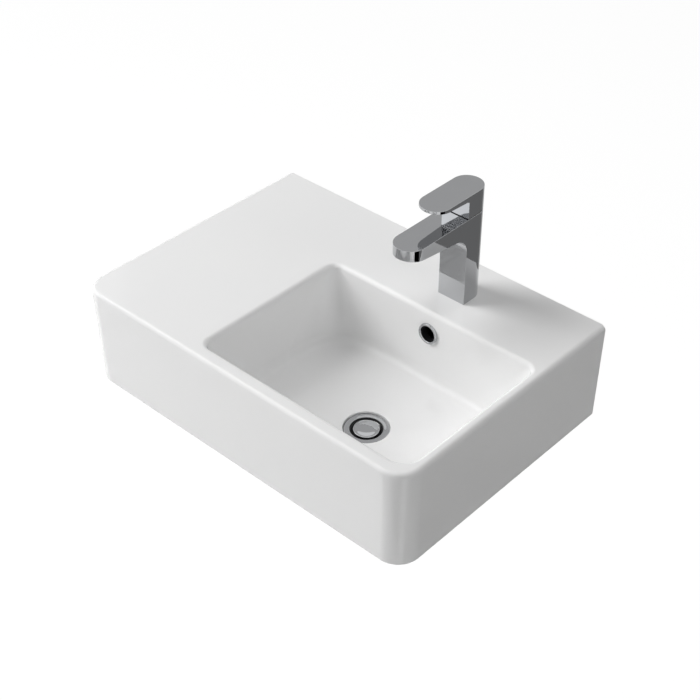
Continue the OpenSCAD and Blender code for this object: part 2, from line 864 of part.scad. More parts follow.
module tap_body() {
    riser_foot = [column_y + 5.8, seat_floor_z - 11];
    riser_top = [column_y - 14, spout_way_z];
    color("silver")
    difference() {
        intersection() {
            translate([0, 0, deck_z])
                linear_extrude(body_h)
                    tap_plan(spout_reach);
            tap_profile();
        }
        column_hollow();
        at_tap(deck_z - cut)
            translate([0, stud_y, 0])
                cylinder(r = stud_r, h = stud_grip + cut, $fn = 32);
        for (s = [-1, 1])
            at_tap(deck_z + column_hollow_h - cut)
                translate([s * inlet_x, -inlet_y, 0]) {
                    cylinder(r = inlet_r, h = 12 + cut, $fn = 32);
                    cylinder(r = port_r, h = seat_z - column_hollow_h + 2 * cut, $fn = 32);
                }
        at_tap(seat_floor_z - 11)
            translate([0, outlet_y, 0])
                cylinder(r = outlet_r, h = 11 + cut, $fn = 32);
        waterway([tap_y + outlet_y, seat_floor_z - 11], riser_foot);
        waterway(riser_foot, riser_top);
        waterway(riser_top, [aerator_y + 2, spout_way_z]);
        at_tap(seat_floor_z)
            cylinder(r = cartridge_bore_r, h = body_h, $fn = facets);
        at_tap(neck_z - 0.1)
            cylinder(r = cartridge_nut_r, h = body_h, $fn = facets);
        at_tap(lift_z)
            sphere(r = socket_r, $fn = facets);
        at_aerator(deck_z)
            cylinder(r = aerator_r, h = aerator_top_z - deck_z, $fn = facets);
        at_aerator(deck_z)
            cylinder(r = aerator_r - 1.5, h = joint_z - 2.5 - deck_z, $fn = facets);
    }
}

// Ring that centres the hollow column in the tap hole
module tap_base_ring() {
    inner = tap_r - column_t - run;
    color("dimgray")
    difference() {
        union() {
            at_tap(deck_z)
                cylinder(r = inner, h = 2.5, $fn = facets);
            at_tap(deck_z - 5)
                cylinder(r = tap_hole_r - run, h = 6, $fn = facets);
        }
        at_tap(deck_z - 6)
            cylinder(r = tap_hole_r - 2, h = 10, $fn = facets);
        at_tap(deck_z - cut)
            translate([0, stud_y, 0])
                cylinder(r = stud_r + 2.6 + run, h = 6, $fn = 32);
        at_tap(deck_z)
            translate([-stud_r - 2.6 - run, stud_y, 0])
                cube([2 * (stud_r + 2.6 + run), tap_r, 6]);
    }
}

module tap_stud() {
    color("goldenrod")
    at_tap(deck_z - stud_drop)
        translate([0, stud_y, 0])
            cylinder(r = stud_r, h = stud_drop + stud_grip - 0.5, $fn = 32);
}

// Horseshoe plate that grips the stud and leaves the hoses free
module horseshoe(outer, h) {
    slot = 2 * inlet_x + 12;
    difference() {
        cylinder(r = outer, h = h, $fn = facets);
        translate([-slot / 2, -outer - cut, -cut])
            cube([slot, outer + stud_y - stud_r - 2.5, h + 2 * cut]);
        translate([0, stud_y, -cut])
            cylinder(r = stud_r + 0.05, h = h + 2 * cut, $fn = 32);
    }
}

module clamp_rubber() {
    color("dimgray")
    at_tap(deck_z - deck_t - clamp_t)
        horseshoe(clamp_r, clamp_t);
}

module clamp_plate() {
    color("silver")
    at_tap(deck_z - deck_t - 2 * clamp_t)
        horseshoe(clamp_r, clamp_t);
}

module stud_nut() {
    color("goldenrod")
    at_tap(deck_z - deck_t - 2 * clamp_t - stud_nut_h)
        translate([0, stud_y, 0])
            difference() {
                cylinder(r = 1.9 * stud_r, h = stud_nut_h, $fn = 6);
                translate([0, 0, -cut])
                    cylinder(r = stud_r, h = stud_nut_h + 2 * cut, $fn = 32);
            }
}

// Spindle socket, screw and cap of the lever share the leaning line of the spindle
module on_spindle() {
    at_tap(lift_z)
        rotate([spindle_lean, 0, 0])
            children();
}
screw_z = lever_top_z - 9;
screw_r = 3;

module tap_lever() {
    back = tap_y + tap_r + cut;
    root_y = column_y - 2;
    bevel_z = lever_foot_z + lever_bevel;
    color("silver")
    difference() {
        intersection() {
            union() {
                translate([0, 0, bevel_z])
                    linear_extrude(lever_top_z - bevel_z)
                        tap_plan(lever_reach);
                translate([0, 0, lever_foot_z])
                    linear_extrude(lever_bevel + 0.01)
                        intersection() {
                            translate([services_x, tap_y])
                                circle(r = tap_r - 0.9, $fn = facets);
                            translate([services_x - tap_r, tap_y - tap_r])
                                square([tap_w, tap_w]);
                        }
                translate([services_x - tap_r + 0.9, column_y + 0.9, lever_foot_z])
                    cube([tap_w - 1.8, column_front - 0.9, lever_bevel + 0.01]);
            }
            tap_side([
                [back, lever_foot_z - cut],
                [back, lever_top_z],
                [lever_tip_y - cut, lever_top_z],
                [lever_tip_y - cut, lever_top_z - lever_tip_t],
                [root_y, lever_top_z - lever_root_t],
                [column_y, lever_top_z - lever_root_t - 2],
                [column_y, lever_foot_z - cut]
            ]);
        }
        at_tap(lever_foot_z - cut)
            cylinder(r = lever_hollow_r, h = lever_hollow_h + cut, $fn = facets);
        on_spindle()
            translate([-spindle_w / 2 - 0.05, -spindle_w / 2 - 0.05, 0])
                cube([spindle_w + 0.1, spindle_w + 0.1, spindle_top + 0.3]);
        at_tap(screw_z)
            rotate([-90, 0, 0])
                cylinder(r = screw_r, h = tap_r + cut, $fn = 32);
        at_tap(screw_z)
            rotate([-90, 0, 0])
                translate([0, 0, tap_r - 3])
                    cylinder(r = screw_r + 1, h = 4 + cut, $fn = 32);
    }
}

module lever_grub_screw() {
    start = spindle_w / 2 / cos(spindle_lean) - (screw_z - screw_r - lift_z) * tan(spindle_lean) + run / 2;
    color("dimgray")
    at_tap(screw_z)
        rotate([-90, 0, 0])
            translate([0, 0, start])
                difference() {
                    cylinder(r = screw_r, h = 11, $fn = 32);
                    translate([0, 0, 7])
                        cylinder(r = 1.7, h = 5, $fn = 6);
                }
}

module lever_screw_cap() {
    color("silver")
    at_tap(screw_z)
        rotate([-90, 0, 0])
            translate([0, 0, tap_r - 3])
                cylinder(r = screw_r + 0.9, h = 2.6, $fn = 32);
}

module cartridge_nut() {
    color("goldenrod")
    at_tap(neck_z)
        difference() {
            cylinder(r = cartridge_nut_r - 0.05, h = cartridge_nut_h, $fn = facets);
            translate([0, 0, -cut])
                cylinder(r = neck_r + ease, h = cartridge_nut_h + 2 * cut, $fn = facets);
            for (a = [45 : 90 : 315])
                rotate([0, 0, a])
                    translate([cartridge_nut_r - 3, -2, cartridge_nut_h - 3])
                        cube([4, 4, 4]);
        }
}

module cartridge_housing() {
    color("gainsboro")
    at_tap(0)
        rotate_extrude($fn = facets)
            polygon([
                [housing_bore_r, fixed_disc_z],
                [cartridge_r, fixed_disc_z],
                [cartridge_r, neck_z],
                [neck_r, neck_z],
                [neck_r, neck_top_z],
                [neck_bore_r, neck_top_z],
                [neck_bore_r, shoulder_z],
                [housing_bore_r, shoulder_z]
            ]);
}

// The three ports of the base, the seals and the fixed disc
module ports(r_in, r_out, h) {
    for (s = [-1, 1])
        translate([s * inlet_x, -inlet_y, -cut])
            cylinder(r = r_in, h = h + 2 * cut, $fn = 32);
    translate([0, outlet_y, -cut])
        cylinder(r = r_out, h = h + 2 * cut, $fn = 32);
}
seal_groove = 1.2;

module cartridge_base() {
    color("gainsboro")
    at_tap(seat_floor_z)
        difference() {
            cylinder(r = cartridge_r, h = base_t, $fn = facets);
            ports(port_r, outlet_r, base_t);
            ports(port_r + 1, outlet_r + 1, seal_groove - cut);
        }
}

module cartridge_seals() {
    color("dimgray")
    at_tap(seat_floor_z) {
        for (s = [-1, 1])
            translate([s * inlet_x, -inlet_y, 0])
                flat_ring(port_r + 1, port_r, seal_groove);
        translate([0, outlet_y, 0])
            flat_ring(outlet_r + 1, outlet_r, seal_groove);
    }
}

module cartridge_fixed_disc() {
    color("white")
    at_tap(fixed_disc_z)
        difference() {
            cylinder(r = fixed_disc_r, h = disc_t, $fn = facets);
            ports(port_r, outlet_r, disc_t);
        }
}

module cartridge_sliding_disc() {
    mix_r = 8.5;
    color("white")
    at_tap(slide_disc_z)
        translate([0, slide_offset, 0])
            difference() {
                cylinder(r = slide_disc_r, h = disc_t, $fn = facets);
                translate([0, 1.5, -cut])
                    cylinder(r = mix_r, h = disc_t / 2 + cut, $fn = facets);
            }
}

module cartridge_slider() {
    slot_r = spindle_foot_r + 0.05;
    color("gainsboro")
    at_tap(slider_z)
        translate([0, slide_offset, 0])
            difference() {
                union() {
                    cylinder(r = slide_disc_r, h = plate_t, $fn = facets);
                    translate([-slider_half_x, -slider_half_y, 0])
                        cube([2 * slider_half_x, 2 * slider_half_y, slider_post_z - slider_z]);
                }
                translate([-slider_half_x - cut, -slot_r, lift_z - spindle_arm - spindle_foot_r - run - slider_z])
                    cube([2 * slider_half_x + 2 * cut, 2 * slot_r, 20]);
            }
}

module cartridge_carrier() {
    way_y = slide_offset + slider_half_y + ease;
    way_x = slider_half_x + run;
    color("gainsboro")
    at_tap(carrier_z)
        difference() {
            union() {
                cylinder(r = fixed_disc_r, h = plate_t, $fn = facets);
                cylinder(r = carrier_r, h = neck_top_z - carrier_z, $fn = facets);
            }
            translate([-way_x, -way_y, -cut])
                cube([2 * way_x, 2 * way_y, neck_top_z - carrier_z + 2 * cut]);
            translate([-carrier_r - cut, 0, lift_z - carrier_z])
                rotate([0, 90, 0])
                    cylinder(r = cross_pin_r, h = 2 * carrier_r + 2 * cut, $fn = 32);
        }
}

module cartridge_spindle() {
    waist = 2;
    color("silver")
    on_spindle()
        difference() {
            union() {
                translate([-spindle_w / 2, -waist, -spindle_arm])
                    cube([spindle_w, 2 * waist, spindle_arm]);
                translate([-spindle_w / 2, -spindle_w / 2, -cross_pin_r - 2])
                    cube([spindle_w, spindle_w, spindle_top + cross_pin_r + 2]);
                translate([-spindle_w / 2, 0, -spindle_arm])
                    rotate([0, 90, 0])
                        cylinder(r = spindle_foot_r, h = spindle_w, $fn = 32);
            }
            translate([-spindle_w, 0, 0])
                rotate([0, 90, 0])
                    cylinder(r = cross_pin_r + 0.05, h = 2 * spindle_w, $fn = 32);
        }
}

module cartridge_cross_pin() {
    color("silver")
    translate([services_x - carrier_r + 1, tap_y, lift_z])
        rotate([0, 90, 0])
            cylinder(r = cross_pin_r, h = 2 * carrier_r - 2, $fn = 32);
}

module at_aerator(z) {
    translate([services_x, aerator_y, z])
        children();
}

module aerator_housing() {
    color("silver")
    at_aerator(0)
        rotate_extrude($fn = facets)
            polygon([
                [insert_r - 0.8, aerator_foot_z],
                [aerator_r - 0.6, aerator_foot_z],
                [aerator_r, aerator_foot_z + 0.6],
                [aerator_r, aerator_top_z - aerator_lip],
                [insert_r, aerator_top_z - aerator_lip],
                [insert_r, aerator_foot_z + 1],
                [insert_r - 0.8, aerator_foot_z + 1]
            ]);
}

module aerator_insert() {
    color("gainsboro")
    at_aerator(aerator_foot_z + 1)
        difference() {
            union() {
                cylinder(r = insert_r, h = aerator_top_z - aerator_lip - aerator_foot_z - 1, $fn = facets);
                cylinder(r = insert_neck_r, h = insert_h, $fn = facets);
            }
            for (x = [-2 : 2], y = [-2 : 2])
                if (norm([x, y]) < 2.5)
                    translate([x * 2.5 - 0.9, y * 2.5 - 0.9, -cut])
                        cube([1.8, 1.8, insert_h + 2 * cut]);
        }
}

module aerator_seal() {
    color("dimgray")
    at_aerator(aerator_top_z - aerator_lip)
        flat_ring(aerator_r, insert_neck_r + 0.1, aerator_lip);
}

basin_body();
overflow_ring();
wall_bushes();
waste_body();
waste_top_seal();
waste_bottom_seal();
waste_washer();
waste_nut();
plug_cap();
plug_seal();
plug_stem();
plug_latch_housing();
plug_spring();
tap_body();
tap_base_ring();
tap_stud();
clamp_rubber();
clamp_plate();
stud_nut();
tap_lever();
lever_grub_screw();
lever_screw_cap();
cartridge_nut();
cartridge_housing();
cartridge_base();
cartridge_seals();
cartridge_fixed_disc();
cartridge_sliding_disc();
cartridge_slider();
cartridge_carrier();
cartridge_spindle();
cartridge_cross_pin();
aerator_housing();
aerator_insert();
aerator_seal();
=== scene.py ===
"""Wall-hung basin with a side shelf, a bowl and a lever mixer tap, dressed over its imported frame."""
import json
import math

import bmesh
import bpy
from mathutils import Matrix, Vector


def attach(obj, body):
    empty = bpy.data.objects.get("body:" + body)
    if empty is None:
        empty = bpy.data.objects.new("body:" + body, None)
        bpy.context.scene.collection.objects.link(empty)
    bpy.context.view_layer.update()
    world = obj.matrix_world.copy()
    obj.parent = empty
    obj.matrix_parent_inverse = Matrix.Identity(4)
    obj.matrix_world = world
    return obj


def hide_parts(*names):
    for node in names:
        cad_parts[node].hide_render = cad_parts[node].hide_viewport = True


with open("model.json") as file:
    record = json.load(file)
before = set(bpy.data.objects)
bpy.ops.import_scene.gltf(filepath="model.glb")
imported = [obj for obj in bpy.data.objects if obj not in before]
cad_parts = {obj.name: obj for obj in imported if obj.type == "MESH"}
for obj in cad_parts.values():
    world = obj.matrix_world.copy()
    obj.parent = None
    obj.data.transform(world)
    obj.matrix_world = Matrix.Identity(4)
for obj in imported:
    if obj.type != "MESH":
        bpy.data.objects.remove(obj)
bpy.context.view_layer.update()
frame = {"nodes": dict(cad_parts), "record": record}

# Lengths are in millimetres in the part's frame, and each mesh is brought to metres when it is finished.
MM = 0.001

# Basin
LEFT, RIGHT, FRONT = -300.0, 300.0, -420.0
DECK_Z, BASIN_H = 95.0, 160.0
FRONT_CORNER_R, WALL_CORNER_R = 35.0, 1.5
SKIRT_DRAFT, EDGE_ROLL, RIGHT_ROLL, FOOT_ROLL = 2.5, 6.0, 8.0, 5.0
DECK_T, SKIRT_T, BACK_T = 14.0, 13.5, 16.0
INNER_CORNER_R, INNER_BACK_R, INNER_FOOT_ROLL, WALL_EDGE = 24.0, 4.0, 1.5, 1.2
BOLT_SPREAD, BOLT_HOLE_R, TAP_HOLE_R = 280.0, 11.3, 17.5

# Bowl
BOWL_X0, BOWL_X1, BOWL_Y0, BOWL_Y1 = -82.0, 290.0, -403.0, -131.0
BOWL_DEPTH, FLOOR_FALL, FLOOR_CURVE = 112.0, 13.0, 1.5
LEAN = math.radians(3)
RIM_ROLL, FOOT_R, BOWL_T = 7.0, 14.0, 11.0
BOWL_CORNER_R, BOWL_FRONT_R, FLOOR_CORNER_R, FLOOR_CORNER_WEIGHT = 22.0, 34.0, 95.0, 1.4

# Services
SERVICES_X, WASTE_Y, TAP_Y = 104.0, -267.0, -70.5
FLANGE_Z, RECESS_Z, BOSS_Z = -32.5, -37.0, -61.0
RECESS_R, BOSS_R, BOSS_FILLET, BOSS_EDGE, WASTE_HOLE_R = 33.0, 38.0, 4.0, 2.0, 23.0
OVERFLOW_Z, OVERFLOW_HOLE_R = 60.0, 13.5
PASSAGE_TOP, PASSAGE_TURN, PASSAGE_D, PASSAGE_HALF_W, PASSAGE_WALL = 18.5, 138.5, 12.0, 17.0, 8.0
PASSAGE_FOOT_Z = -53.5

# Tap
TAP_R, COLUMN_Y, TIP_Y = 22.75, -93.5, -208.0
JOINT_Z, SPOUT_TIP_T, SPOUT_ROOT_T, SPOUT_FILLET = 234.0, 15.5, 29.0, 26.0
SEAT_Z, NECK_Z, LIFT_Z, SOCKET_R = 199.0, 219.1, 247.0, 24.9
AERATOR_Y = TIP_Y + TAP_R
LEVER_FOOT_Z, LEVER_TOP_Z, LEVER_TIP_Y = 235.0, 270.5, -157.5
LEVER_TIP_T, LEVER_ROOT_T, SCREW_Z = 3.7, 8.0, LEVER_TOP_Z - 9
TAP_EDGE = 0.3

# Inside of the tap
HOLLOW_R, HOLLOW_FRONT, HOLLOW_TOP = 18.4, -19.4, DECK_Z + 84
STUD_Y, STUD_R, STUD_BOSS_R = TAP_Y + 11, 4.0, 6.6
INLET_X, INLET_Y, INLET_R, WATERWAY_R = 8.5, TAP_Y - 6, 4.5, 3.0
OUTLET_Y, OUTLET_R = TAP_Y + 6, 3.5
CARTRIDGE_R, NECK_R, AERATOR_R, SPOUT_WAY_R = 17.6, 19.0, 11.0, 9.5
LEVER_HOLLOW_R, LEVER_HOLLOW_H = 19.5, 22.0
SPINDLE_HOLE_W, SPINDLE_HOLE_H, SPINDLE_TILT = 8.1, 17.9, math.radians(12.5)
SCREW_HOLE_R, SCREW_CAP_R, SCREW_CAP_D = 3.0, 4.0, 3.0

# Points on each corner arc and on each straight side of a basin outline
ARC, SIDE = 12, 16

# How far from a roll the ring stands that keeps the flat face beside it flat
FLAT_EDGE = 0.8

# Least room between the outside of the bowl and the skirts
SKIRT_GAP = 2.0

# How near two points have to be to become one
MERGE = 1e-3


# Shaping

def turned(degrees):
    return Vector((math.cos(math.radians(degrees)), math.sin(math.radians(degrees))))


def corner(place, reach, start, weight):
    """Corner curve: an arc at a weight of cos 45, with a tighter middle above it."""
    points = []
    for i in range(ARC + 1):
        t = i / ARC
        first, middle, last = (1 - t) ** 2, 2 * weight * t * (1 - t), t * t
        pull = turned(start + 90) * first + turned(start) * last
        points.append(Vector(place) - reach * pull / (first + middle + last))
    return points


def outline(x0, x1, y0, y1, radii, weight=math.sqrt(0.5)):
    """Rounded rectangle, anticlockwise from the front left corner, radii in that order."""
    places = ((x0, y0), (x1, y0), (x1, y1), (x0, y1))
    arcs = [corner(place, r, start, weight) for place, r, start in zip(places, radii, (180, 270, 0, 90))]
    points = []
    for arc, after in zip(arcs, arcs[1:] + arcs[:1]):
        points += arc + [arc[-1].lerp(after[0], i / SIDE) for i in range(1, SIDE)]
    return points


def stadium(radius, reach):
    """Plan of the tap about its axis: a round back, straight sides and a round tip at -reach."""
    back = [radius * turned(180 * i / 32) for i in range(33)]
    tip = [radius * turned(180 + 180 * i / 32) + Vector((0, radius - reach)) for i in range(33)]
    return back + tip


def at_depth(points, depth):
    return [Vector((p.x, p.y, DECK_Z - depth)) for p in points]


class Skin:
    """A surface that grows ring by ring: each ring is extruded from the last one and put in its place."""

    def __init__(self, points):
        self.bm = bmesh.new()
        self.ring = bmesh.ops.create_circle(self.bm, segments=len(points), radius=1)["verts"]
        self.place(points)

    def place(self, points):
        for vert, point in zip(self.ring, points):
            vert.co = point

    def grow(self, points):
        after = self.ring[1:] + self.ring[:1]
        edges = [self.bm.edges.get(pair) for pair in zip(self.ring, after)]
        grown = bmesh.ops.extrude_edge_only(self.bm, edges=edges)["geom"]
        fresh = {item for item in grown if isinstance(item, bmesh.types.BMVert)}
        self.ring = [
            next(edge.other_vert(vert) for edge in vert.link_edges if edge.other_vert(vert) in fresh)
            for vert in self.ring
        ]
        self.place(points)


def closed(bm):
    bmesh.ops.remove_doubles(bm, verts=bm.verts, dist=MERGE)
    bmesh.ops.dissolve_degenerate(bm, edges=bm.edges, dist=MERGE)
    bmesh.ops.recalc_face_normals(bm, faces=bm.faces)
    return bm


def prism(points, rise):
    """Extrudes a flat outline of 3-D points by a vector."""
    bm = bmesh.new()
    face = bm.faces.new([bm.verts.new(p) for p in points])
    lifted = bmesh.ops.extrude_face_region(bm, geom=[face])["geom"]
    bmesh.ops.translate(bm, verts=[v for v in lifted if isinstance(v, bmesh.types.BMVert)], vec=rise)
    return closed(bm)


def upright(points, centre, low, high):
    return prism([Vector((centre[0] + p.x, centre[1] + p.y, low)) for p in points], (0, 0, high - low))


def across(points, half_width):
    """Extrudes a side profile of (y, z) points to both sides of the services' plane."""
    return prism([Vector((SERVICES_X - half_width, y, z)) for y, z in points], (2 * half_width, 0, 0))


def painted_shade_on(bm, where=lambda middle: True):
    """Paints shade: gives faces the dark painted-shade material; on a tool, the surfaces that it cuts take
    it over.
    """
    for face in bm.faces:
        if where(face.calc_center_median()):
            face.material_index = 1
    return bm


def box(low, high):
    bm = bmesh.new()
    made = bmesh.ops.create_cube(bm, size=1)["verts"]
    size = Vector(high) - Vector(low)
    bmesh.ops.scale(bm, vec=size, verts=made)
    bmesh.ops.translate(bm, vec=(Vector(low) + Vector(high)) / 2, verts=made)
    return bm


def drum(radius, low, high, x, y, steps=64):
    """Upright cylinder."""
    bm = bmesh.new()
    made = bmesh.ops.create_cone(
        bm, cap_ends=True, segments=steps, radius1=radius, radius2=radius, depth=high - low)["verts"]
    bmesh.ops.translate(bm, vec=(x, y, (low + high) / 2), verts=made)
    return bm


def ball(radius, x, y, z):
    bm = bmesh.new()
    made = bmesh.ops.create_uvsphere(bm, u_segments=64, v_segments=32, radius=radius)["verts"]
    bmesh.ops.translate(bm, vec=(x, y, z), verts=made)
    return bm


def placed(bm, matrix):
    bmesh.ops.transform(bm, matrix=matrix, verts=bm.verts)
    return bm


def as_object(name, bm, *materials):
    """Turns a bmesh into an object of the scene, with its place in its mesh."""
    mesh = bpy.data.meshes.new(name)
    bm.to_mesh(mesh)
    bm.free()
    for material in materials:
        mesh.materials.append(material)
    made = bpy.data.objects.new(name, mesh)
    bpy.context.scene.collection.objects.link(made)
    return made


def joined(*parts):
    """Puts separate shells in one mesh."""
    whole = parts[0]
    for part in parts[1:]:
        mesh = bpy.data.meshes.new("shell")
        part.to_mesh(mesh)
        whole.from_mesh(mesh)
        bpy.data.meshes.remove(mesh)
        part.free()
    return whole


def rounded(corners):
    """Turns profile corners of (radius, height, rounding) into small arcs."""
    points, steps = [], 4
    for i, (r, z, size) in enumerate(corners):
        here = Vector((r, z))
        if not size:
            points.append(here)
            continue
        before = Vector(corners[i - 1][:2]) - here
        after = Vector(corners[(i + 1) % len(corners)][:2]) - here
        start = here + before.normalized() * min(size, before.length * 0.48)
        end = here + after.normalized() * min(size, after.length * 0.48)
        for k in range(steps + 1):
            t = k / steps
            points.append(start * (1 - t) ** 2 + here * 2 * t * (1 - t) + end * t ** 2)
    return points


def lathe(corners, x=0.0, y=0.0, z=0.0, steps=96):
    """Spins a closed profile round an upright line."""
    bm = bmesh.new()
    verts = [bm.verts.new((max(p.x, 0), 0, p.y)) for p in rounded(corners)]
    edges = [bm.edges.new(pair) for pair in zip(verts, verts[1:] + verts[:1])]
    bmesh.ops.spin(bm, geom=verts + edges, cent=(0, 0, 0), axis=(0, 0, 1),
                   angle=math.tau, steps=steps, use_merge=True)
    closed(bm)
    return placed(bm, Matrix.Translation((x, y, z)))


def cut(bm, *steps):
    """Runs exact Booleans on a mesh: each step is an operation and its tool."""
    work = as_object("blank", bm)
    tools = []
    for operation, tool in steps:
        tools.append(as_object("tool", tool))
        step = work.modifiers.new(operation, "BOOLEAN")
        step.operation, step.solver, step.object = operation, "EXACT", tools[-1]
    graph = bpy.context.evaluated_depsgraph_get()
    shaped = bpy.data.meshes.new_from_object(work.evaluated_get(graph))
    out = bmesh.new()
    out.from_mesh(shaped)
    for blank in [work] + tools:
        mesh = blank.data
        bpy.data.objects.remove(blank)
        bpy.data.meshes.remove(mesh)
    bpy.data.meshes.remove(shaped)
    bmesh.ops.remove_doubles(out, verts=out.verts, dist=MERGE)
    return out


def eased(bm, size, angle=30, segments=4, pick=None):
    """Rounds the edges that turn by more than an angle."""
    edges = [
        edge for edge in bm.edges
        if len(edge.link_faces) == 2 and edge.calc_face_angle() > math.radians(angle)
        and (pick is None or pick(edge))
    ]
    bmesh.ops.bevel(bm, geom=edges, offset=size, offset_type="OFFSET", segments=segments, profile=0.5,
                    affect="EDGES", clamp_overlap=True, material=-1)
    return bm


def piece(name, bm, material, node, body, sharp=35, painted_shade=None):
    """Finishes a mesh as a piece that stands for a CAD node and rides on its body, with a painted-shade
    material as its second one if given.
    """
    bmesh.ops.scale(bm, vec=(MM, MM, MM), verts=bm.verts)
    made = as_object(name, bm, *[finish.material for finish in (material, painted_shade) if finish])
    made.data.polygons.foreach_set("use_smooth", [True] * len(made.data.polygons))
    made.data.set_sharp_from_angle(angle=math.radians(sharp))
    shade = made.modifiers.new("even shading", "WEIGHTED_NORMAL")
    shade.keep_sharp = True
    shade.weight = 80
    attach(made, body)
    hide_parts(node)
    return made


# Finishes

class Amount:
    """A node's output that takes part in Python sums."""

    def __init__(self, tree, output):
        self.tree, self.output = tree, output

    def sum(self, operation, other=0.0):
        return self.tree.node("ShaderNodeMath", {"operation": operation}, {0: self, 1: other})

    def __add__(self, other):
        return self.sum("ADD", other)

    def __mul__(self, other):
        return self.sum("MULTIPLY", other)


class Tree:
    """The node tree of a material or a world."""

    def __init__(self, owner):
        owner.use_nodes = True
        self.nodes, self.links = owner.node_tree.nodes, owner.node_tree.links

    def put(self, socket, value):
        if isinstance(value, Amount):
            self.links.new(value.output, socket)
        else:
            socket.default_value = value

    def node(self, kind, settings=(), inputs=(), output=0):
        """Adds a node: its settings first, then the values or links of its sockets."""
        made = self.nodes.new(kind)
        for name, value in dict(settings).items():
            setattr(made, name, value)
        for name, value in dict(inputs).items():
            self.put(made.inputs[name], value)
        return Amount(self, made.outputs[output])

    def seen_directly(self):
        """1 for the camera, mirrors and glass, and 0 for light that falls on things."""
        camera, mirror, glass = [
            self.node("ShaderNodeLightPath", output="Is %s Ray" % kind)
            for kind in ("Camera", "Glossy", "Transmission")
        ]
        return camera.sum("MAXIMUM", mirror).sum("MAXIMUM", glass)

    def mixed_surface(self, share, first, second):
        """Ends the tree in a mix of two shaders, with a share of the second."""
        mixed = self.node("ShaderNodeMixShader", {}, {0: share, 1: first, 2: second})
        out = self.nodes.new("ShaderNodeOutputMaterial")
        self.put(out.inputs["Surface"], mixed)


class Finish(Tree):
    """A node material on a Principled shader, named after the record's slot."""

    def __init__(self, slot, **constants):
        self.slot = slot
        self.material = bpy.data.materials.new(slot)
        super().__init__(self.material)
        self.shader = self.nodes["Principled BSDF"]
        for name, value in constants.items():
            self.shader.inputs[name].default_value = value
        self.place = self.node("ShaderNodeTexCoord", output="Object")

    def noise(self, scale, detail=2.0, stretch=(1, 1, 1)):
        where = self.node("ShaderNodeMapping", {}, {"Vector": self.place, "Scale": stretch})
        return self.node("ShaderNodeTexNoise", {}, {"Vector": where, "Scale": scale, "Detail": detail})

    def tint(self, amount, low, high):
        """Base colour that wanders between two colours."""
        self.put(self.shader.inputs["Base Color"], self.node(
            "ShaderNodeMix", {"data_type": "RGBA"}, {0: amount, 6: (*low, 1), 7: (*high, 1)}, output=2))

    def rough(self, amount):
        self.put(self.shader.inputs["Roughness"], amount)

    def relief(self, height, distance):
        bump = {"Height": height, "Distance": distance, "Strength": 1.0}
        self.put(self.shader.inputs["Normal"], self.node("ShaderNodeBump", {}, bump, output="Normal"))


def glaze_finish():
    """White gloss glaze: a faint orange peel, pooled a little warmer and softer in places."""
    glaze = Finish("glaze", IOR=1.52)
    pool = glaze.noise(7.0, 3.0)
    peel = glaze.noise(140.0, 1.0)
    speck = glaze.noise(900.0, 2.0)
    glaze.tint(pool * 0.8 + speck * 0.2, (0.880, 0.882, 0.885), (0.905, 0.903, 0.898))
    glaze.rough(pool * 0.03 + speck * 0.02 + 0.075)
    glaze.relief(peel * 0.8 + speck * 0.05, 0.00004)
    return glaze


def chrome_finish():
    """Polished chrome plate with the faintest haze and wiping marks."""
    chrome = Finish("chrome", Metallic=1.0)
    haze = chrome.noise(35.0, 4.0)
    wipe = chrome.noise(260.0, 3.0, (1, 0.2, 1))
    chrome.tint(haze, (0.485, 0.492, 0.505), (0.520, 0.527, 0.538))
    chrome.rough(haze * 0.02 + wipe * 0.015 + 0.02)
    chrome.relief(wipe, 0.000004)
    return chrome


def metal_finish(slot, low, high, rough, grain, stretch):
    """Turned or drawn metal with tool lines."""
    metal = Finish(slot, Metallic=1.0)
    lines = metal.noise(grain, 3.0, stretch)
    cloud = metal.noise(60.0, 3.0)
    metal.tint(lines * 0.5 + cloud * 0.5, low, high)
    metal.rough(lines * 0.12 + cloud * 0.06 + rough)
    metal.relief(lines, 0.00002)
    return metal


def moulded_finish(slot, low, high, rough, grain, depth):
    """Moulded plastic, rubber or fired ceramic with a fine grain, also used for the near-black painted
    shade.
    """
    moulded = Finish(slot)
    fine = moulded.noise(grain, 3.0)
    broad = moulded.noise(40.0, 2.0)
    moulded.tint(fine * 0.4 + broad * 0.6, low, high)
    moulded.rough(fine * 0.1 + rough)
    moulded.relief(fine, depth)
    return moulded


GLAZE = glaze_finish()
CHROME = chrome_finish()
# Painted shade: near black for the shade inside the overflow passage and the hole into it, whose real
# surface is the white ceramic
PAINTED_CHANNEL_SHADE = moulded_finish(
    "painted_channel_shade", (0.020, 0.019, 0.018), (0.035, 0.033, 0.030), 0.70, 400.0, 0.0002)
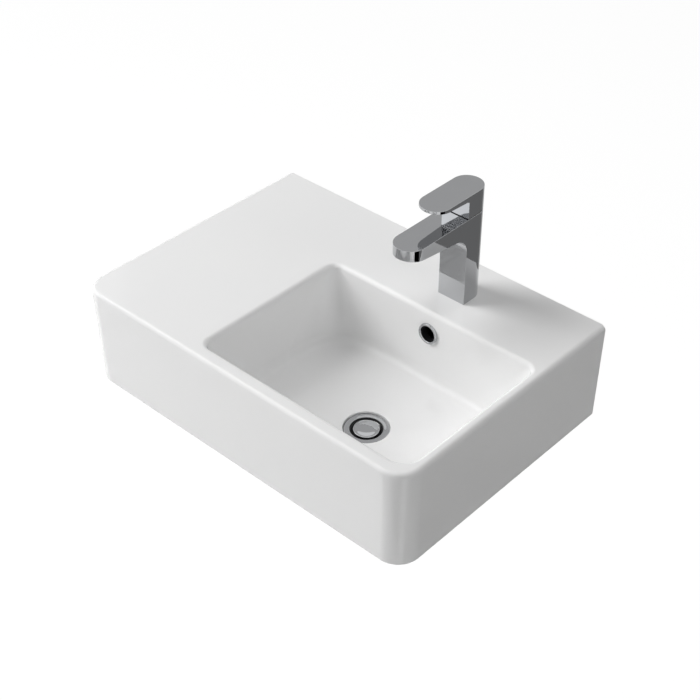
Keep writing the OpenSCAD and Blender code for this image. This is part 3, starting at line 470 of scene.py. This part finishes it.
# Painted shade: near black for the shade down the overflow ring's bore and in the waste's mouth round the
# plug
PAINTED_GAP_SHADE = moulded_finish(
    "painted_gap_shade", (0.006, 0.006, 0.007), (0.012, 0.012, 0.013), 0.55, 900.0, 0.00002)
FINISHES = {
    "brass": metal_finish("brass", (0.66, 0.47, 0.19), (0.78, 0.60, 0.30), 0.20, 900.0, (0.05, 0.05, 1)),
    "plated_steel": metal_finish(
        "plated_steel", (0.52, 0.53, 0.53), (0.64, 0.65, 0.63), 0.30, 500.0, (1, 0.1, 1)),
    "spring_steel": metal_finish(
        "spring_steel", (0.44, 0.45, 0.46), (0.56, 0.57, 0.58), 0.24, 1200.0, (0.1, 1, 1)),
    "rubber": moulded_finish(
        "rubber", (0.018, 0.018, 0.020), (0.034, 0.034, 0.036), 0.62, 1500.0, 0.00003),
    "white_plastic": moulded_finish(
        "white_plastic", (0.74, 0.74, 0.72), (0.82, 0.82, 0.80), 0.36, 1800.0, 0.00002),
    "dark_plastic": moulded_finish(
        "dark_plastic", (0.055, 0.056, 0.060), (0.085, 0.086, 0.092), 0.42, 1800.0, 0.00002),
    "alumina": moulded_finish("alumina", (0.80, 0.79, 0.73), (0.86, 0.85, 0.80), 0.22, 2500.0, 0.000005),
    "glaze": GLAZE,
    "chrome": CHROME,
}


# Basin

def rolled(radius, depth):
    """How far a rolled edge stands in from its face, at a depth below the top of the roll."""
    return radius - math.sqrt(radius ** 2 - (radius - depth) ** 2) if depth < radius else 0.0


def skirt(depth, inset=0.0):
    lean = SKIRT_DRAFT * depth / BASIN_H
    under = rolled(FOOT_ROLL, BASIN_H - depth)
    soft = rolled(EDGE_ROLL, depth) + under + inset
    hard = rolled(RIGHT_ROLL, depth) + under + inset
    points = outline(
        LEFT + lean + soft, RIGHT - lean - hard, FRONT + lean + soft, 0,
        (FRONT_CORNER_R - soft, FRONT_CORNER_R - (soft + hard) / 2, WALL_CORNER_R, WALL_CORNER_R))
    return at_depth(points, depth)


def hollow(depth, grow=0.0):
    """Inside of the skirts."""
    points = outline(
        LEFT + SKIRT_T - grow, RIGHT - SKIRT_T + grow, FRONT + SKIRT_T - grow, grow - BACK_T,
        (INNER_CORNER_R + grow, INNER_CORNER_R + grow, INNER_BACK_R + grow, INNER_BACK_R + grow))
    return at_depth(points, depth)


def wall_in(depth):
    """How far the bowl wall stands in from the rim, at a depth below the deck."""
    return RIM_ROLL + (depth - RIM_ROLL) * math.tan(LEAN)


FOOT_IN = wall_in(BOWL_DEPTH - FOOT_R * (1 - math.sin(LEAN)))
FLOOR_IN = FOOT_IN + FOOT_R * math.cos(LEAN)


def bowl(depth, inset, grow=0.0, keep=None):
    """Outline of the bowl, set in from its rim and grown by a wall, kept clear of the skirts if asked.

    Its corners sharpen over the roll, then open towards the foot of the walls.
    """
    t = max(0.0, min(1.0, (inset - RIM_ROLL) / (FOOT_IN - RIM_ROLL)))
    turned_in = max(0.0, min(inset, RIM_ROLL))
    side = (BOWL_CORNER_R - turned_in) * (1 - t) + FLOOR_CORNER_R * t + grow
    front = (BOWL_FRONT_R - turned_in) * (1 - t) + FLOOR_CORNER_R * t + grow
    x1, y0 = BOWL_X1 - inset + grow, BOWL_Y0 + inset - grow
    if keep is not None:
        x1, y0 = min(x1, RIGHT - SKIRT_T - keep), max(y0, FRONT + SKIRT_T + keep)
    weight = math.sqrt(0.5) * (1 - t) + FLOOR_CORNER_WEIGHT * t
    x0, y1 = BOWL_X0 + inset - grow, BOWL_Y1 - inset + grow
    return at_depth(outline(x0, x1, y0, y1, (side, front, side, side), weight), depth)


def spoked(depth, radius, t=0.0):
    """From a circle round the waste, at t = 0, out to the foot of the walls, at t = 1."""
    centre = Vector((SERVICES_X, WASTE_Y))
    points = []
    for foot in bowl(0, FLOOR_IN):
        spoke = foot.xy - centre
        points.append(centre + spoke.normalized() * radius * (1 - t) + spoke * t)
    return at_depth(points, depth)


def basin_skin():
    tops = sorted({round(r * (1 - math.sin(math.radians(a))), 4)
                   for r in (EDGE_ROLL, RIGHT_ROLL) for a in range(0, 91, 10)})
    first = skirt(0, FLAT_EDGE)
    skin = Skin(first)
    for depth in tops + [RIGHT_ROLL + 1, 50, 100, BASIN_H - FOOT_ROLL - 1]:
        skin.grow(skirt(depth))
    for a in range(0, 91, 15):
        skin.grow(skirt(BASIN_H - FOOT_ROLL * (1 - math.sin(math.radians(a)))))

    # Foot of the skirts, then up their inside to the underside of the deck
    for a in (90, 60, 30, 0):
        wave = math.radians(a)
        skin.grow(hollow(BASIN_H - INNER_FOOT_ROLL * (1 - math.sin(wave)),
                         INNER_FOOT_ROLL * (1 - math.cos(wave))))
    for depth in (110, 60, DECK_T + 1):
        skin.grow(hollow(depth))
    skin.grow(hollow(DECK_T + 0.3, -0.3))
    skin.grow(hollow(DECK_T, -1))

    # Outside of the bowl, down to the boss round the waste
    wall = BOWL_T / math.cos(LEAN)
    skin.grow(bowl(DECK_T, wall_in(DECK_T), wall + 1.5, 1.3))
    skin.grow(bowl(DECK_T + 0.5, wall_in(DECK_T), wall + 0.5, 1.7))
    skin.grow(bowl(DECK_T + 1.5, wall_in(DECK_T + 1.5), wall, SKIRT_GAP))
    for depth in (30, 45, 60, 80):
        skin.grow(bowl(depth, wall_in(depth), wall, SKIRT_GAP))
    for i in range(9):
        a = LEAN + (math.pi / 2 - LEAN) * i / 8
        skin.grow(bowl(BOWL_DEPTH - FOOT_R + (FOOT_R + BOWL_T) * math.sin(a),
                       FLOOR_IN - FOOT_R * math.cos(a), BOWL_T * math.cos(a), SKIRT_GAP))
    under = BOWL_DEPTH + BOWL_T
    for t in (0.92, 0.8, 0.6, 0.4, 0.2, 0.05):
        skin.grow(spoked(under + FLOOR_FALL * (1 - t) ** FLOOR_CURVE, BOSS_R + BOSS_FILLET, t))
    for a in (90, 60, 30, 0):
        wave = math.radians(a)
        skin.grow(spoked(under + FLOOR_FALL + BOSS_FILLET * (1 - math.sin(wave)),
                         BOSS_R + BOSS_FILLET * (1 - math.cos(wave))))
    foot = DECK_Z - BOSS_Z
    for a in (0, 30, 60, 90):
        wave = math.radians(a)
        skin.grow(spoked(foot - BOSS_EDGE * (1 - math.sin(wave)),
                         BOSS_R - BOSS_EDGE * (1 - math.cos(wave))))
    skin.grow(spoked(foot, WASTE_HOLE_R + 1))
    skin.grow(spoked(foot - 1, WASTE_HOLE_R))

    # Up through the waste hole to its recess and the floor of the bowl
    recess = DECK_Z - RECESS_Z
    skin.grow(spoked(recess, WASTE_HOLE_R))
    skin.grow(spoked(recess, RECESS_R))
    lowest = BOWL_DEPTH + FLOOR_FALL
    skin.grow(spoked(lowest + 1.6, RECESS_R))
    for a in (0, 30, 60, 90):
        wave = math.radians(a)
        skin.grow(spoked(lowest + 1 - math.sin(wave), RECESS_R + 1 - math.cos(wave)))
    for t in (0.01, 0.05, 0.12, 0.22, 0.34, 0.46, 0.58, 0.70, 0.80, 0.88, 0.94, 0.98):
        skin.grow(spoked(BOWL_DEPTH + FLOOR_FALL * (1 - t) ** FLOOR_CURVE, RECESS_R + 1, t))
    for i in range(11):
        a = math.pi / 2 - (math.pi / 2 - LEAN) * i / 10
        skin.grow(bowl(BOWL_DEPTH - FOOT_R * (1 - math.sin(a)), FLOOR_IN - FOOT_R * math.cos(a)))

    # Up the wall and over the rim
    lip = wall_in(RIM_ROLL * (1 - math.sin(LEAN))) - RIM_ROLL * math.cos(LEAN)
    for depth in (BOWL_DEPTH - FOOT_R - 1, 60, 30, RIM_ROLL):
        skin.grow(bowl(depth, wall_in(depth)))
    for i in range(9):
        a = LEAN + (math.pi / 2 - LEAN) * i / 8
        skin.grow(bowl(RIM_ROLL * (1 - math.sin(a)), lip + RIM_ROLL * math.cos(a)))
    skin.grow(bowl(0, lip, FLAT_EDGE))
    skin.grow(first)
    bm = closed(skin.bm)

    def wall_edge(edge):
        return all(
            v.co.y > -1e-3 and min(DECK_Z - v.co.z, v.co.z - DECK_Z + BASIN_H) < 1e-3 for v in edge.verts)

    return eased(bm, WALL_EDGE, 60, 3, wall_edge)


def passage(grow, foot):
    """Overflow passage behind the bowl and under its floor, as a side profile."""
    def front(depth):
        return BOWL_Y1 - wall_in(depth) + BOWL_T

    top, turn = PASSAGE_TOP, PASSAGE_TURN - grow
    end, back = WASTE_Y + WASTE_HOLE_R / 2 + grow, PASSAGE_D + grow
    return across([
        (front(top) - grow, DECK_Z - top + grow), (front(turn) - grow, DECK_Z - turn),
        (end, DECK_Z - turn), (end, foot),
        (front(DECK_Z - foot) + back, foot), (front(top) + back, DECK_Z - top + grow),
    ], PASSAGE_HALF_W + grow)


OVERFLOW_FACE = (
    Matrix.Translation((SERVICES_X, BOWL_Y1 - wall_in(DECK_Z - OVERFLOW_Z), OVERFLOW_Z))
    @ Matrix.Rotation(math.pi / 2 - LEAN, 4, "X")
)


def make_basin():
    bolts = [
        placed(drum(BOLT_HOLE_R, -1, BACK_T + 1, 0, 0),
               Matrix.Translation((x, 0, 0)) @ Matrix.Rotation(math.pi / 2, 4, "X"))
        for x in (-BOLT_SPREAD / 2, BOLT_SPREAD / 2)
    ]
    bm = cut(
        basin_skin(),
        ("UNION", eased(passage(PASSAGE_WALL, BOSS_Z + 0.4), 2.0, segments=3)),
        # The passage and the overflow hole take the painted shade on the faces that they cut
        ("DIFFERENCE", painted_shade_on(passage(0, PASSAGE_FOOT_Z))),
        ("DIFFERENCE", drum(WASTE_HOLE_R, BOSS_Z + 2, RECESS_Z - 2, SERVICES_X, WASTE_Y, 96)),
        ("DIFFERENCE", painted_shade_on(placed(drum(OVERFLOW_HOLE_R, -BOWL_T - 2, 2, 0, 0), OVERFLOW_FACE))),
        ("DIFFERENCE", drum(TAP_HOLE_R, DECK_Z - DECK_T - 1, DECK_Z + 1, SERVICES_X, TAP_Y)),
        *[("DIFFERENCE", bolt) for bolt in bolts],
    )
    return piece("basin_glaze", bm, GLAZE, "basin_body", "basin", sharp=38, painted_shade=PAINTED_CHANNEL_SHADE)


# Waste and overflow

def make_overflow_ring():
    bore, barrel, rim, lip = 12.0, 13.2, 16.0, 3.5
    ring = lathe([(bore, -8, 0.2), (barrel, -8, 0.2), (barrel, 0, 0), (rim, 0, 0.2), (rim, lip - 1.3, 0.9),
                  (rim - 0.8, lip, 0.9), (bore + 0.9, lip, 0.9), (bore, lip - 1.3, 0.9)])
    # Painted shade down the chrome bore, below the lip
    painted_shade_on(ring, lambda middle: middle.xy.length < bore + 0.6 and middle.z < lip - 1.5)
    ring = placed(ring, OVERFLOW_FACE)
    return piece("overflow_trim", ring, CHROME, "overflow_ring", "basin", painted_shade=PAINTED_GAP_SHADE)


def make_waste():
    bore, root, tail, mouth, flange = 17.5, 20.2, 20.95, 23.6, 32.25
    foot, pitch = -78.0, 2.31
    thread = []
    for i in range(11):
        thread += [(root, foot + 0.8 + pitch * i, 0), (tail, foot + 1.95 + pitch * i, 0)]

    # Up the tail, out under the flange, over it, and down the stepped mouth that the plug closes
    shell = lathe([
        (bore, foot, 0.4), (root, foot, 0.3)] + thread + [
        (20.25, -52, 0), (20.25, -50, 0), (tail, -50, 0), (tail, -10, 0.3), (22.6, -8, 0.3),
        (22.6, -4.2, 0.3), (24.6, -3, 0), (flange, -3, 0.3), (flange, -0.9, 0.7), (31.0, -0.05, 0.7),
        (28.0, -0.25, 1.5), (24.2, -0.05, 0.5), (mouth, -0.2, 0.2), (mouth, -2.6, 0.2), (21.4, -2.8, 0.3),
        (21.4, -6, 0.3), (19.2, -6.8, 0.4), (19.2, -12, 0.4), (bore, -14, 0.4),
    ])
    # Painted shade on the chrome walls of the mouth, in the gap round the plug
    painted_shade_on(shell, lambda middle: bore + 1 < middle.xy.length < mouth + 0.2 and -14 < middle.z < -0.3)
    windows = [
        placed(box((13.5, -11, -20), (34.5, 11, -12)), Matrix.Rotation(math.radians(a), 4, "Z"))
        for a in (90, 270)
    ]
    shell = cut(shell, *[("DIFFERENCE", window) for window in windows])
    hub = lathe([(6.85, -32, 0.3), (9.2, -32, 0.3), (9.2, -26, 0.3), (6.85, -26, 0.3)], steps=48)
    arms = [
        placed(eased(box((8, -1.5, -32), (19, 1.5, -26)), 0.4, segments=2),
               Matrix.Rotation(math.radians(a), 4, "Z"))
        for a in (90, 210, 330)
    ]
    whole = placed(joined(shell, hub, *arms), Matrix.Translation((SERVICES_X, WASTE_Y, FLANGE_Z)))
    return piece("waste_flange_and_tail", whole, CHROME, "waste_body", "basin", painted_shade=PAINTED_GAP_SHADE)


def make_plug_cap():
    cap = lathe([
        (0, -6.5, 0), (10, -6.5, 0.3), (10, -3.5, 0.4), (17.7, -3.5, 0.5), (18.7, -2.5, 0.5),
        (18.7, -0.6, 0.5), (18.0, 0, 0.5), (15.3, 0.15, 1.0), (11.2, 0.84, 3), (5.6, 1.14, 3), (0, 1.2, 0)],
        SERVICES_X, WASTE_Y, FLANGE_Z)
    return piece("plug_disc", cap, CHROME, "plug_cap", "plug")


# Tap

def make_tap_body():
    slope = math.atan((SPOUT_ROOT_T - SPOUT_TIP_T) / (COLUMN_Y - TIP_Y))

    def underside(y):
        return JOINT_Z - SPOUT_ROOT_T + (COLUMN_Y - y) * math.tan(slope)

    fillet_y = COLUMN_Y - SPOUT_FILLET
    fillet_z = underside(fillet_y) - SPOUT_FILLET / math.cos(slope)
    back = TAP_Y + TAP_R + 1
    steps = 16
    fillet = [
        (fillet_y + SPOUT_FILLET * math.cos(a), fillet_z + SPOUT_FILLET * math.sin(a))
        for a in [(math.pi / 2 - slope) * i / steps for i in range(steps, -1, -1)]
    ]
    side = across([(back, DECK_Z), (back, JOINT_Z), (TIP_Y - 1, JOINT_Z), (TIP_Y - 1, underside(TIP_Y - 1))]
                  + fillet + [(COLUMN_Y, DECK_Z)], TAP_R + 1)
    form = cut(upright(stadium(TAP_R, TAP_Y - TIP_Y), (SERVICES_X, TAP_Y), DECK_Z - 1, JOINT_Z + 1),
               ("INTERSECT", side))
    form = eased(form, TAP_EDGE, segments=3)

    # Hollow of the column, with the boss of the stud left standing at its back
    hollow_plan = [HOLLOW_R * turned(180 * i / 24) for i in range(25)]
    hollow_plan += [Vector((-HOLLOW_R, HOLLOW_FRONT)), Vector((HOLLOW_R, HOLLOW_FRONT))]
    inside = cut(
        upright(hollow_plan, (SERVICES_X, TAP_Y), DECK_Z - 1, HOLLOW_TOP),
        ("DIFFERENCE", drum(STUD_BOSS_R, DECK_Z - 3, HOLLOW_TOP + 6, SERVICES_X, STUD_Y, 32)),
        ("DIFFERENCE", box((SERVICES_X - STUD_BOSS_R, STUD_Y, DECK_Z - 3),
                           (SERVICES_X + STUD_BOSS_R, STUD_Y + 19, HOLLOW_TOP + 6))),
    )
    inlets = (SERVICES_X - INLET_X, SERVICES_X + INLET_X)
    bores = [inside, drum(STUD_R, DECK_Z - 1, DECK_Z + 20, SERVICES_X, STUD_Y, 32)]
    bores += [drum(INLET_R, HOLLOW_TOP - 1, HOLLOW_TOP + 12, x, INLET_Y, 32) for x in inlets]
    bores += [drum(WATERWAY_R, HOLLOW_TOP + 11, SEAT_Z + 1, x, INLET_Y, 32) for x in inlets]
    bores += [
        drum(OUTLET_R, SEAT_Z - 11, SEAT_Z + 1, SERVICES_X, OUTLET_Y, 32),
        drum(CARTRIDGE_R, SEAT_Z, JOINT_Z + 4, SERVICES_X, TAP_Y),
        drum(NECK_R, NECK_Z, JOINT_Z + 4, SERVICES_X, TAP_Y),
        ball(SOCKET_R, SERVICES_X, TAP_Y, LIFT_Z),
        drum(AERATOR_R, SEAT_Z + 1, JOINT_Z - 10, SERVICES_X, AERATOR_Y),
        drum(SPOUT_WAY_R, SEAT_Z + 1, JOINT_Z - 2.5, SERVICES_X, AERATOR_Y),
    ]
    bm = cut(form, *[("DIFFERENCE", bore) for bore in bores])
    return piece("tap_column_and_spout", bm, CHROME, "tap_body", "basin")


SCREW_AXIS = Matrix.Translation((SERVICES_X, TAP_Y, SCREW_Z)) @ Matrix.Rotation(-math.pi / 2, 4, "X")


def make_lever():
    back, root, tip = TAP_Y + TAP_R + 1, COLUMN_Y - 2, LEVER_TIP_Y - 1
    low = LEVER_FOOT_Z - 2
    side = across([
        (back, LEVER_FOOT_Z), (back, LEVER_TOP_Z), (tip, LEVER_TOP_Z), (tip, LEVER_TOP_Z - LEVER_TIP_T),
        (root, LEVER_TOP_Z - LEVER_ROOT_T), (COLUMN_Y, LEVER_TOP_Z - LEVER_ROOT_T - 2),
        (COLUMN_Y, LEVER_FOOT_Z)], TAP_R + 1)
    plan = stadium(TAP_R, TAP_Y - LEVER_TIP_Y)
    form = cut(upright(plan, (SERVICES_X, TAP_Y), LEVER_FOOT_Z - 1, LEVER_TOP_Z + 1), ("INTERSECT", side))
    form = eased(form, TAP_EDGE, segments=3)
    half = SPINDLE_HOLE_W / 2
    spindle = placed(
        box((-half, -half, 0), (half, half, SPINDLE_HOLE_H)),
        Matrix.Translation((SERVICES_X, TAP_Y, LIFT_Z)) @ Matrix.Rotation(SPINDLE_TILT, 4, "X"))

    # The back of the foot is relieved, so that it turns down into the body's socket when the lever lifts
    relief = cut(
        drum(TAP_R + 2, low, LEVER_FOOT_Z + 2.5, SERVICES_X, TAP_Y, 96),
        ("DIFFERENCE", ball(SOCKET_R - 0.1, SERVICES_X, TAP_Y, LIFT_Z)),
        ("DIFFERENCE", box((SERVICES_X - 30, TAP_Y - 30, LEVER_FOOT_Z - 3),
                           (SERVICES_X + 30, TAP_Y + 1, LEVER_FOOT_Z + 3))),
    )
    bm = cut(
        form,
        ("DIFFERENCE", relief),
        ("DIFFERENCE", drum(LEVER_HOLLOW_R, low, LEVER_FOOT_Z + LEVER_HOLLOW_H, SERVICES_X, TAP_Y)),
        ("DIFFERENCE", spindle),
        ("DIFFERENCE", placed(drum(SCREW_HOLE_R, 0, TAP_R + 1, 0, 0, 32), SCREW_AXIS)),
        ("DIFFERENCE", placed(drum(SCREW_CAP_R, TAP_R - SCREW_CAP_D, TAP_R + 2, 0, 0, 48), SCREW_AXIS)),
    )
    return piece("lever_handle", bm, CHROME, "tap_lever", "lever")


def make_screw_cap():
    cap = lathe([(0, 19, 0), (3.9, 19, 0.2), (3.9, 21.4, 0.4), (2, 21.6, 0.8), (0, 21.6, 0)], steps=48)
    return piece("lever_screw_cover", placed(cap, SCREW_AXIS), CHROME, "lever_screw_cap", "lever")


def make_aerator():
    foot, top = JOINT_Z - SPOUT_TIP_T - 0.8, JOINT_Z - 10
    mouth, bore = 7.8, 8.6
    housing = lathe([(mouth, foot, 0.2), (10.4, foot, 0.3), (AERATOR_R, foot + 0.6, 0.3),
                     (AERATOR_R, top - 2, 0.2), (bore, top - 2, 0), (bore, foot + 1, 0),
                     (mouth, foot + 1, 0.1)], SERVICES_X, AERATOR_Y)
    return piece("aerator_sleeve", housing, CHROME, "aerator_housing", "basin")


make_basin()
make_overflow_ring()
make_waste()
make_plug_cap()
make_tap_body()
make_lever()
make_screw_cap()
make_aerator()

for part in frame["record"]["subparts"]:
    node = frame["nodes"][part["node"]]
    node.data.materials.clear()
    node.data.materials.append(FINISHES[part["material_slot"]].material)


# Studio, in metres

FLOOR_Z, FLOOR_SIZE, FLOOR_TONE, FLOOR_GLOW, FLOOR_SHARE = -0.95, 14, 0.9, 1.05, 0.9
LAMPS_AIM = Vector((0.0, -0.2, 0.0))
SCREENS_AROUND = Vector((0.1, -0.2, 0.0))
CAMERA_PLACE = Vector((1.0755, -1.3564, 1.2452))
CAMERA_AIM = Vector((0.079489, -0.273602, 0.095))
CAMERA_LENS = 72.46


def bare_material(name):
    """A material whose node tree is still empty."""
    material = bpy.data.materials.new(name)
    tree = Tree(material)
    tree.nodes.clear()
    return material, tree


def make_floor():
    """A pale floor that takes shadows, most of which the camera and mirrors see as plain glow."""
    material, tree = bare_material("studio_floor")
    pale = tree.node("ShaderNodeBsdfDiffuse", {}, {"Color": (FLOOR_TONE, FLOOR_TONE, FLOOR_TONE, 1)})
    glow = tree.node("ShaderNodeEmission", {}, {"Strength": FLOOR_GLOW})
    tree.mixed_surface(tree.seen_directly() * FLOOR_SHARE, pale, glow)
    bm = bmesh.new()
    bmesh.ops.create_grid(bm, x_segments=1, y_segments=1, size=FLOOR_SIZE)
    bmesh.ops.translate(bm, vec=(0, 0, FLOOR_Z), verts=bm.verts)
    floor = as_object("studio_floor", bm, material)


def make_card(name, centre, facing, width, height, level, soft=0.02):
    """A studio card that only mirror reflections see, with edges that fade over a share of its width."""
    material, tree = bare_material(name)
    place = tree.node("ShaderNodeTexCoord", output="Object")
    fades = []
    for axis in ("X", "Y"):
        off_centre = tree.node("ShaderNodeSeparateXYZ", {}, {0: place}, output=axis).sum("ABSOLUTE")
        fades.append(tree.node("ShaderNodeMapRange", {"interpolation_type": "SMOOTHSTEP"}, {
            "Value": off_centre, "From Min": 0.5, "From Max": 0.5 - soft, "To Min": 0.0, "To Max": 1.0}))
    clear = tree.node("ShaderNodeBsdfTransparent")
    light = tree.node("ShaderNodeEmission", {}, {"Color": (level, level, level, 1)})
    tree.mixed_surface(fades[0] * fades[1], clear, light)
    bm = bmesh.new()
    bmesh.ops.create_grid(bm, x_segments=1, y_segments=1, size=0.5)
    card = as_object(name, bm, material)
    card.location = centre
    card.rotation_euler = (Vector(facing) - Vector(centre)).to_track_quat("Z", "Y").to_euler()
    card.scale = (width, height, 1)
    card.visible_camera = card.visible_diffuse = card.visible_shadow = card.visible_transmission = False


def make_world(ambient):
    """White for the camera, mirrors and glass, and a faint light on everything else."""
    world = bpy.data.worlds.new("studio")
    bpy.context.scene.world = world
    tree = Tree(world)
    sky = tree.nodes["Background"]
    sky.inputs["Color"].default_value = (1, 1, 1, 1)
    tree.put(sky.inputs["Strength"], tree.seen_directly() * (1 - ambient) + ambient)


def make_screen(name, start, end, low, high, distance, level):
    """An upright card between two bearings about the basin, in degrees from the front to the right."""
    bearing = math.radians((start + end) / 2)
    away = Vector((math.sin(bearing), -math.cos(bearing), 0)) * distance
    centre = SCREENS_AROUND + Vector((0, 0, (low + high) / 2)) + away
    width = 2 * distance * math.tan(math.radians(end - start) / 2)
    make_card(name, centre, centre - away, width, high - low, level)


def make_lamp(name, place, size, power):
    """A square softbox aimed at the basin, which mirrors don't see: a card stands in its place for them."""
    lamp = bpy.data.lights.new(name, "AREA")
    lamp.size = size
    lamp.energy = power
    made = bpy.data.objects.new(name, lamp)
    bpy.context.scene.collection.objects.link(made)
    made.location = place
    made.rotation_euler = (LAMPS_AIM - made.location).to_track_quat("-Z", "Y").to_euler()
    made.visible_glossy = False


def make_camera():
    camera = bpy.data.cameras.new("camera")
    camera.sensor_fit = "HORIZONTAL"
    camera.sensor_width = 36.0
    camera.lens = CAMERA_LENS
    camera.clip_end = 100
    made = bpy.data.objects.new("camera", camera)
    bpy.context.scene.collection.objects.link(made)
    made.location = CAMERA_PLACE
    made.rotation_euler = (CAMERA_AIM - CAMERA_PLACE).to_track_quat("-Z", "Y").to_euler()
    bpy.context.scene.camera = made


make_camera()
make_floor()
make_world(ambient=0.01)
make_lamp("softbox_left_far", (-4.246, -2.651, 4.114), 3.8, 232)
make_lamp("softbox_left_high", (-1.96, -1.331, 2.263), 1.9, 17)
make_lamp("softbox_left_low", (-2.677, -1.745, 0.828), 1.9, 28)
make_lamp("softbox_side", (-2.057, -0.2, 2.451), 1.9, 4)
make_lamp("softbox_above", (0.0, -0.758, 6.376), 3.8, 33)
make_lamp("fill_front", (0.8, -3.186, 0.828), 1.9, 13.5)
make_lamp("fill_right", (3.007, -0.2, 1.094), 1.9, 19)
make_lamp("fill_back", (0.0, 1.4, 2.771), 1.9, 22)
make_card("softbox_card", (-2.1, -1.9, 2.3), (0.1, -0.1, 0.2), 2.4, 2.4, 2.2, 0.25)
make_card("card_back_left", (-2.3, 1.65, 0.85), (0.2, -0.25, 0.09), 0.9, 0.5, 2.2, 0.2)
make_card("card_above", (-1.9, 2.6, 2.4), (0.1, -0.1, 0.25), 3.0, 2.4, 0.56)
make_card("card_floor_right", (1.5, 0.75, -0.93), (1.5, 0.75, 1.0), 2.6, 3.0, 0.10)
make_card("card_floor_back", (-0.9, 1.4, -0.93), (-0.9, 1.4, 1.0), 2.2, 2.6, 0.45)
make_screen("screen_behind", 104, 175, -0.94, -0.02, 1.1, 0.2)
make_screen("screen_right", 70, 103, -0.94, -0.1, 1.1, 0.0)
make_screen("screen_front_right", 18, 48, -0.94, -0.1, 1.1, 0.55)
make_screen("screen_front", -24, -4, -0.94, -0.1, 1.1, 0.55)

bpy.context.scene.view_settings.view_transform = "Standard"
